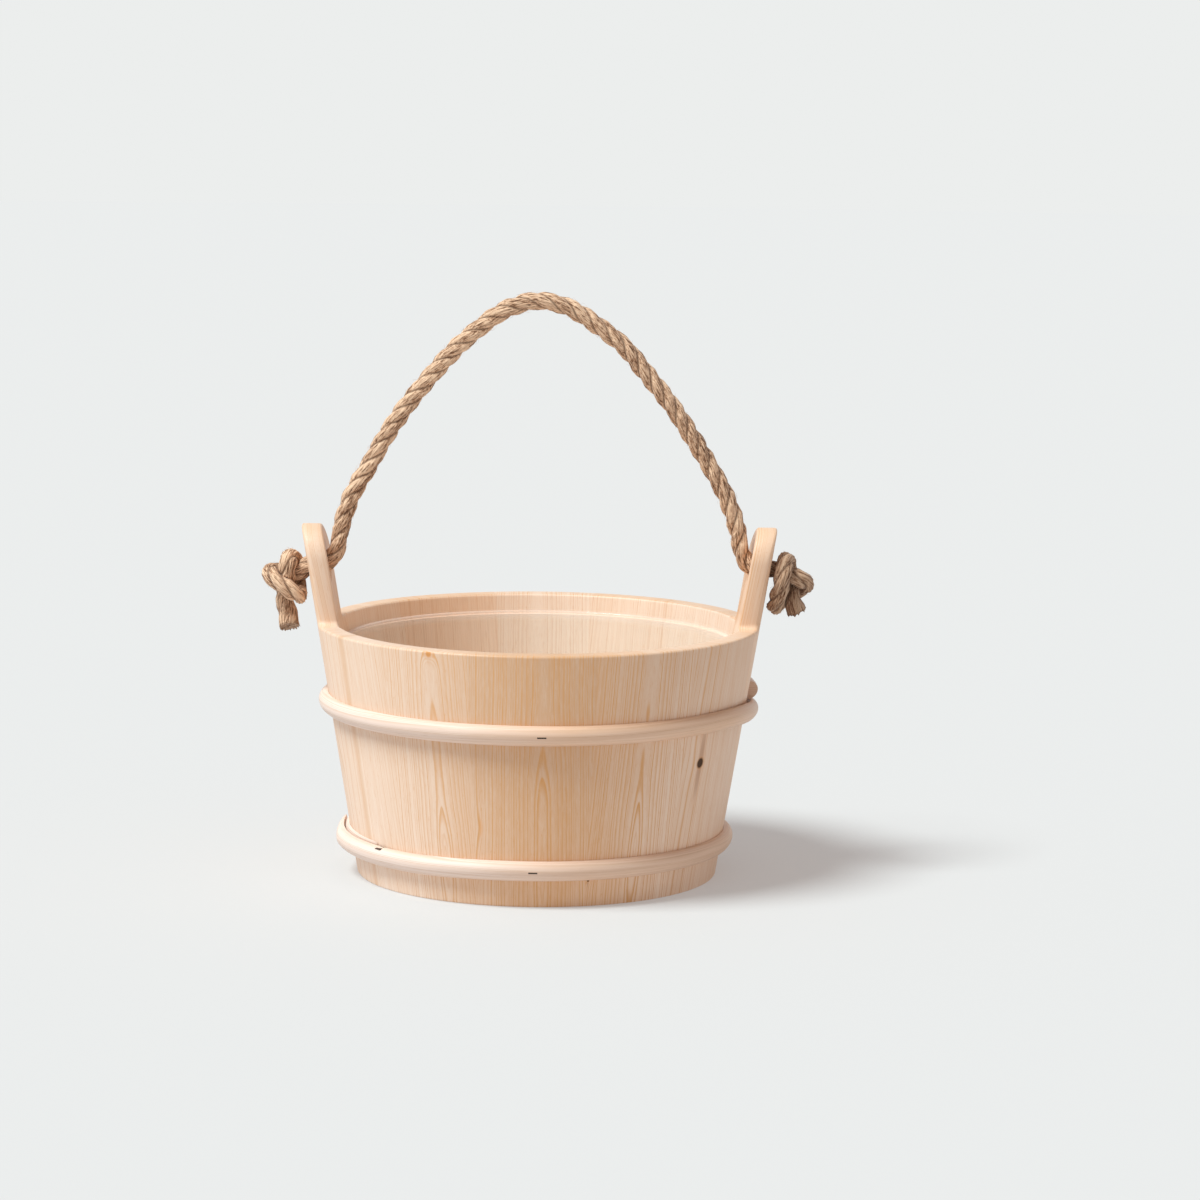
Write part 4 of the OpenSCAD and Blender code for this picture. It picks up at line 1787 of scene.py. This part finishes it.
@dataclass(frozen=True)
class Base:
    """Three boards set in the staves' groove."""

    wall: Wall
    gap: float = 0.2
    middle_w: float = 70.0
    arris: float = 0.6
    arris_angle: float = 50.0
    sides: int = 128
    heart_step: float = 9.0
    heart_depth: float = 17.0
    lean: float = 0.05
    tone: float = 0.3
    tone_step: float = 0.12
    first_log: int = 30

    def make(self, finish: bpy.types.Material) -> None:
        """Makes the boards.

        Args:
            finish: The boards' material.
        """
        half, far = self.middle_w / 2, self.wall.rim_d / 2
        spans = {"left": (-far, -half), "middle": (-half, half), "right": (half, far)}
        for number, (word, (first, last)) in enumerate(spans.items()):
            board = self.board(f"base_board_{word}_planed", first, last)
            x, y, z = corners(board).T
            heart = (first + last) / 2 + self.heart_step * (number - 1)
            depth = self.heart_depth + self.wall.base_top - z + self.lean * y
            mark(board, "grain", np.stack([x - heart, depth, y + LOG_APART * (self.first_log + number)], 1))
            mark(board, "tone", np.full(len(x), self.tone + self.tone_step * number))
            hand_over(board, Body.BUCKET, Slot.BASE, finish, f"base_board_{word}")

    def board(self, name: str, first: float, last: float) -> bpy.types.Object:
        """One board between two places on X.

        Args:
            name: The piece's name.
            first: Its left edge.
            last: Its right edge.

        Returns:
            The piece.
        """
        board = new_piece(name, bpy.ops.mesh.primitive_cylinder_add,
                          vertices=self.sides, radius=1.0, depth=1.0)
        x, y, z = (corners(board) * MM).T
        thick = self.wall.base_t - self.gap
        middle = self.wall.base_up + self.wall.base_t / 2
        radius = self.wall.groove - self.gap
        move_corners(board, np.stack([radius * x, radius * y, middle + thick * z], 1))
        with on_bench(board):
            for place, normal in ((first, -1), (last, 1)):
                saw((place, 0, 0), (normal, 0, 0), use_fill=True, clear_outer=True)
        apply(board, "BEVEL", width=self.arris * MM, segments=2, limit_method="ANGLE",
              angle_limit=math.radians(self.arris_angle))
        close_up(board)
        smooth(board)
        return board


# Hoops and staples


@dataclass(frozen=True)
class StaplePlace:
    """A staple's angle from the front and height above the hoop's middle."""

    angle: float
    up: float


@dataclass(frozen=True)
class Hoop:
    """A half-round strip wound once round the wall, with one end laid over the other."""

    name: str
    middle: float
    direction: int
    lap: float
    start_angle: float
    start_taper: float
    start_rise: float
    stand_off: Pair
    sink: Pair
    tail_lift: float
    tail_taper: float
    tail_share: Pair
    staples: tuple[StaplePlace, ...]
    # Tone by angle: partly the strip's own, and partly painted light, palest on the left where the key light
    # falls and warmest on the shaded right
    tones: tuple[Pair, ...]
    height: float = 12.0
    thickness: float = 6.4
    gap: float = 0.15
    start_share: Pair = (0.4, 0.6)
    climb: float = 45.0
    waves: tuple[tuple[float, float, float], ...] = ((0.10, 7.0, 0.0), (0.07, 17.0, 1.0))
    heart: Pair = (44.0, 9.0)
    slope: float = 0.012
    log_start: float = 1300.0
    log_apart: float = 40.0
    cut_length: float = 0.9
    step: float = 1.5
    round_squares: int = 14
    back_squares: int = 4
    ray_start: float = 60.0

    def bend(self, wall: Wall) -> bpy.types.Object:
        """Bends the strip round the wall.

        Args:
            wall: The wall.

        Returns:
            The piece.
        """
        total = 360.0 + self.lap
        squares = self.round_squares + self.back_squares
        strip, around, long_share = rolled_sheet(self.name + "_bent", squares, round(total / self.step))
        along = total * long_share
        front = np.minimum(around * squares / self.round_squares, 1.0)
        back = np.maximum(around * squares - self.round_squares, 0.0) / self.back_squares
        turn = math.pi * front
        early = along < 180.0
        thick, high = (
            np.where(early, blend(self.start_share[k], 1.0, along / self.start_taper),
                     blend(1.0, self.tail_share[k], 1.0 - (total - along) / self.tail_taper))
            for k in (0, 1)
        )
        lift = np.where(early, blend(self.start_rise, 0.0, along / self.start_taper),
                        self.tail_lift * ease((along - 360.0) / self.climb + 1.0))
        low = self.sink[0] * (1.0 - ease((along - self.sink[1]) / self.climb))
        out = self.gap + blend(self.stand_off[0], 0.0, along / self.stand_off[1])
        rise = np.where(back > 0.0, -1.0 + 2.0 * back, np.cos(turn))
        z = self.middle - low + lift + self.height / 2 * high * rise
        swell = np.where(back > 0.0, 0.0, np.sin(turn))
        wave = sum(size * np.sin(np.radians(along) * pace + start) for size, pace, start in self.waves)
        r = wall.outer(z) + out + (self.thickness * thick + wave * thick) * swell
        angle = np.radians(self.start_angle + self.direction * along)
        move_corners(strip, np.stack([r * np.sin(angle), -r * np.cos(angle), z], 1))
        length = np.radians(along) * wall.outer(self.middle)
        mark(strip, "grain", np.stack([
            self.heart[0] + self.height / 2 * rise * high + self.slope * length,
            self.heart[1] - self.thickness * swell * thick,
            length + self.log_start + self.log_apart * self.middle,
        ], 1))
        places, tones = zip(*self.tones)
        mark(strip, "tone", np.interp((np.degrees(angle) + 180.0) % 360.0 - 180.0, places, tones))
        to_end = np.minimum(along, total - along)
        mark(strip, "cut", (1.0 - to_end / self.cut_length).clip(0.0, 1.0))
        close_up(strip)
        smooth(strip, ROUNDED_CREASE)
        return strip

    def surface(self, strip: bpy.types.Object, wall: Wall, place: StaplePlace) -> float:
        """Finds the strip's outer face where a staple is driven.

        Args:
            strip: The strip.
            wall: The wall.
            place: The staple's place.

        Returns:
            The radius of the face.
        """
        z = self.middle + place.up
        x, y = round_place(1.0, place.angle)
        far = wall.outer(z) + self.ray_start
        hit, where, _, _ = strip.ray_cast(Vector((x * far, y * far, z)) * MM, Vector((-x, -y, 0.0)))
        return math.hypot(where.x, where.y) / MM if hit else wall.outer(z) + self.thickness


@dataclass(frozen=True)
class Staple:
    """One staple of flat wire."""

    crown: float = 5.4
    leg: float = 12.0
    wide: float = 0.95
    thick: float = 0.8
    proud: float = 0.03
    soft: float = 0.22
    weld: float = 0.001

    def make(self) -> bpy.types.Object:
        """Bends one staple, with its crown on X = 0 and its legs towards -X.

        Returns:
            The piece.
        """
        staple = new_piece("staple", bpy.ops.mesh.primitive_cube_add, size=1.0)
        cube = corners(staple) * MM
        move_corners(staple, cube * (self.thick, self.crown, self.wide) - (self.thick / 2, 0, 0))
        inside = self.crown / 2 - self.thick
        with on_bench(staple):
            for place in (-inside, inside):
                saw((0, place, 0), (0, 1, 0))
            pick(staple, Part.FACES, lambda face: face.normal.x < -FACING
                 and abs(face.calc_center_median().y) > inside * MM)
            draw_out(self.thick - self.leg)
        apply(staple, "BEVEL", width=self.soft * MM, segments=2, limit_method="ANGLE")
        return staple


@dataclass(frozen=True)
class Hoops:
    """Both hoops and the staples that hold them."""

    wall: Wall
    staple: Staple = Staple()
    upper: Hoop = Hoop(
        "hoop_upper", middle=103.0, direction=-1, lap=20.0,
        start_angle=110.0, start_taper=35.0, start_rise=0.0, stand_off=(3.8, 68.0), sink=(3.7, 10.0),
        tail_lift=6.9, tail_taper=20.0, tail_share=(0.9, 0.93),
        staples=(StaplePlace(1, 0), StaplePlace(84, -5.5), StaplePlace(180, 1), StaplePlace(-90, 0)),
        tones=((-180, 0.5), (-70, 0.1), (-20, 0.2), (8, 0.75), (60, 0.8), (95, 0.3), (115, 0.1), (180, 0.5)),
    )
    lower: Hoop = Hoop(
        "hoop_lower", middle=22.0, direction=1, lap=44.0,
        start_angle=-100.0, start_taper=18.0, start_rise=4.0, stand_off=(4.7, 54.0), sink=(1.5, 50.0),
        tail_lift=2.5, tail_taper=74.0, tail_share=(0.05, 0.6),
        staples=(StaplePlace(-1, 0), StaplePlace(-53, 4), StaplePlace(90, 0), StaplePlace(180, 0)),
        tones=((-180, 0.5), (-60, 0.0), (-20, 0.1), (15, 0.55), (70, 0.8), (180, 0.5)),
    )

    def make(self, finish: bpy.types.Material, wire: bpy.types.Material) -> None:
        """Makes the hoops and staples.

        Args:
            finish: The hoops' material.
            wire: The staples' material.
        """
        for hoop in (self.upper, self.lower):
            strip = hoop.bend(self.wall)
            self.drive(hoop, strip, wire)
            hand_over(strip, Body.BUCKET, Slot.HOOPS, finish, hoop.name)

    def drive(self, hoop: Hoop, strip: bpy.types.Object, wire: bpy.types.Material) -> None:
        """Drives a hoop's staples.

        Args:
            hoop: The hoop.
            strip: Its finished piece.
            wire: The staples' material.
        """
        word = hoop.name.split("_")[1]
        pattern = self.staple.make()
        driven = []
        for place in hoop.staples:
            copy = pattern.copy()
            copy.data = pattern.data.copy()
            bpy.context.scene.collection.objects.link(copy)
            radius = hoop.surface(strip, self.wall, place) + self.staple.proud
            # The face's slope is taken over one millimetre
            low, high = (
                hoop.surface(strip, self.wall, replace(place, up=place.up + way)) for way in (-0.5, 0.5)
            )
            local = corners(copy)
            angle = math.radians(place.angle)
            r, t = radius + local[:, 0] + (high - low) * local[:, 2], local[:, 1]
            x = r * math.sin(angle) + t * math.cos(angle)
            y = -r * math.cos(angle) + t * math.sin(angle)
            move_corners(copy, np.stack([x, y, hoop.middle + place.up + local[:, 2]], 1))
            driven.append(copy)
        bpy.data.objects.remove(pattern)
        take(*driven)
        bpy.ops.object.join()
        group = driven[0]
        group.name = group.data.name = f"staples_{word}_driven"
        close_up(group, self.staple.weld)
        smooth(group, ROUNDED_CREASE)
        hand_over(group, Body.BUCKET, Slot.STAPLES, wire, f"staples_{word}_hoop")


# Liner


@dataclass(frozen=True)
class Liner:
    """Clear cup that hangs by its lip on the staves' ledge."""

    wall: Wall
    thickness: float = 1.6
    lip_t: float = 2.0
    corner_r: float = 8.0
    gap: float = 0.8
    floor_gap: float = 1.0
    lip_gap: float = 0.3
    lip_fade: float = 4.0
    corner_steps: int = 8
    lip_steps: int = 5
    steps: int = 144

    def radius(self, z: float) -> float:
        """Outer radius of the cup at a height."""
        return self.wall.lower_inner(z) - self.gap

    def section(self) -> list[Pair]:
        """Outline of the cup's cross-section.

        Returns:
            Its corners as radius and height.
        """
        lip = self.wall.ledge + self.lip_gap
        top, low = lip + self.lip_t, lip - self.lip_fade
        edge = self.wall.inner(self.wall.ledge) - self.gap / 2
        floor = self.wall.base_top + self.floor_gap
        bend = (self.radius(floor) - self.corner_r, floor + self.corner_r)
        half = self.lip_t / 2
        return [
            (0, floor),
            *arc(bend, self.corner_r, -90, 0, self.corner_steps),
            (self.radius(low), low),
            (self.radius(lip), lip),
            (edge, lip),
            *arc((edge - half, lip + half), half, 0, 90, self.lip_steps),
            *arc((self.radius(top) - self.thickness + half, top - half), half, 90, 180, self.lip_steps),
            (self.radius(low) - self.thickness, low),
            *arc(bend, self.corner_r - self.thickness, 0, -90, self.corner_steps),
            (0, floor + self.thickness),
        ]

    def make(self, finish: bpy.types.Material) -> None:
        """Makes the liner.

        Args:
            finish: The liner's material.
        """
        outline = [(r, 0.0, z) for r, z in self.section()]
        cup = lathed("liner_moulded", outline, (0, 0, 0), (0, 0, 1), self.steps)
        smooth(cup, ROUNDED_CREASE)
        mark(cup, "lip", ease((corners(cup)[:, 2] - self.wall.ledge) / self.lip_fade + 1.0))
        hand_over(cup, Body.LINER, Slot.LINER, finish, "liner")


# The whole bucket


PINE = WoodFinish(
    "stave_pine", pale=(0.945, 0.745, 0.61), warm=(0.77, 0.455, 0.255), late=(0.69, 0.34, 0.12),
)
BASE_PINE = WoodFinish(
    "base_pine", pale=(0.97, 0.79, 0.61), warm=(0.91, 0.68, 0.47), late=(0.68, 0.42, 0.23), contrast=0.5,
)
HOOP_WOOD = WoodFinish(
    "hoop_willow", pale=(0.86, 0.70, 0.62), warm=(0.75, 0.465, 0.29), late=(0.55, 0.325, 0.175),
    ring=1.1, contrast=0.75,
)


def main() -> None:
    """Builds the bucket and its surroundings."""
    logging.basicConfig(level=logging.INFO, format="%(message)s")
    bpy.context.scene.view_settings.view_transform = "Standard"
    Viewpoint().make()
    wall = Wall()
    Rope(wall).make(RopeFinish().make())
    pine = PINE.make()
    Staves(wall).make(pine)
    EarStaves(wall).make(pine)
    Base(wall).make(BASE_PINE.make())
    Hoops(wall).make(HOOP_WOOD.make(), WireFinish().make())
    Liner(wall).make(ClearFinish().make())
    studio = Studio()
    studio.light()
    studio.floor()


if __name__ == "__main__":
    main()
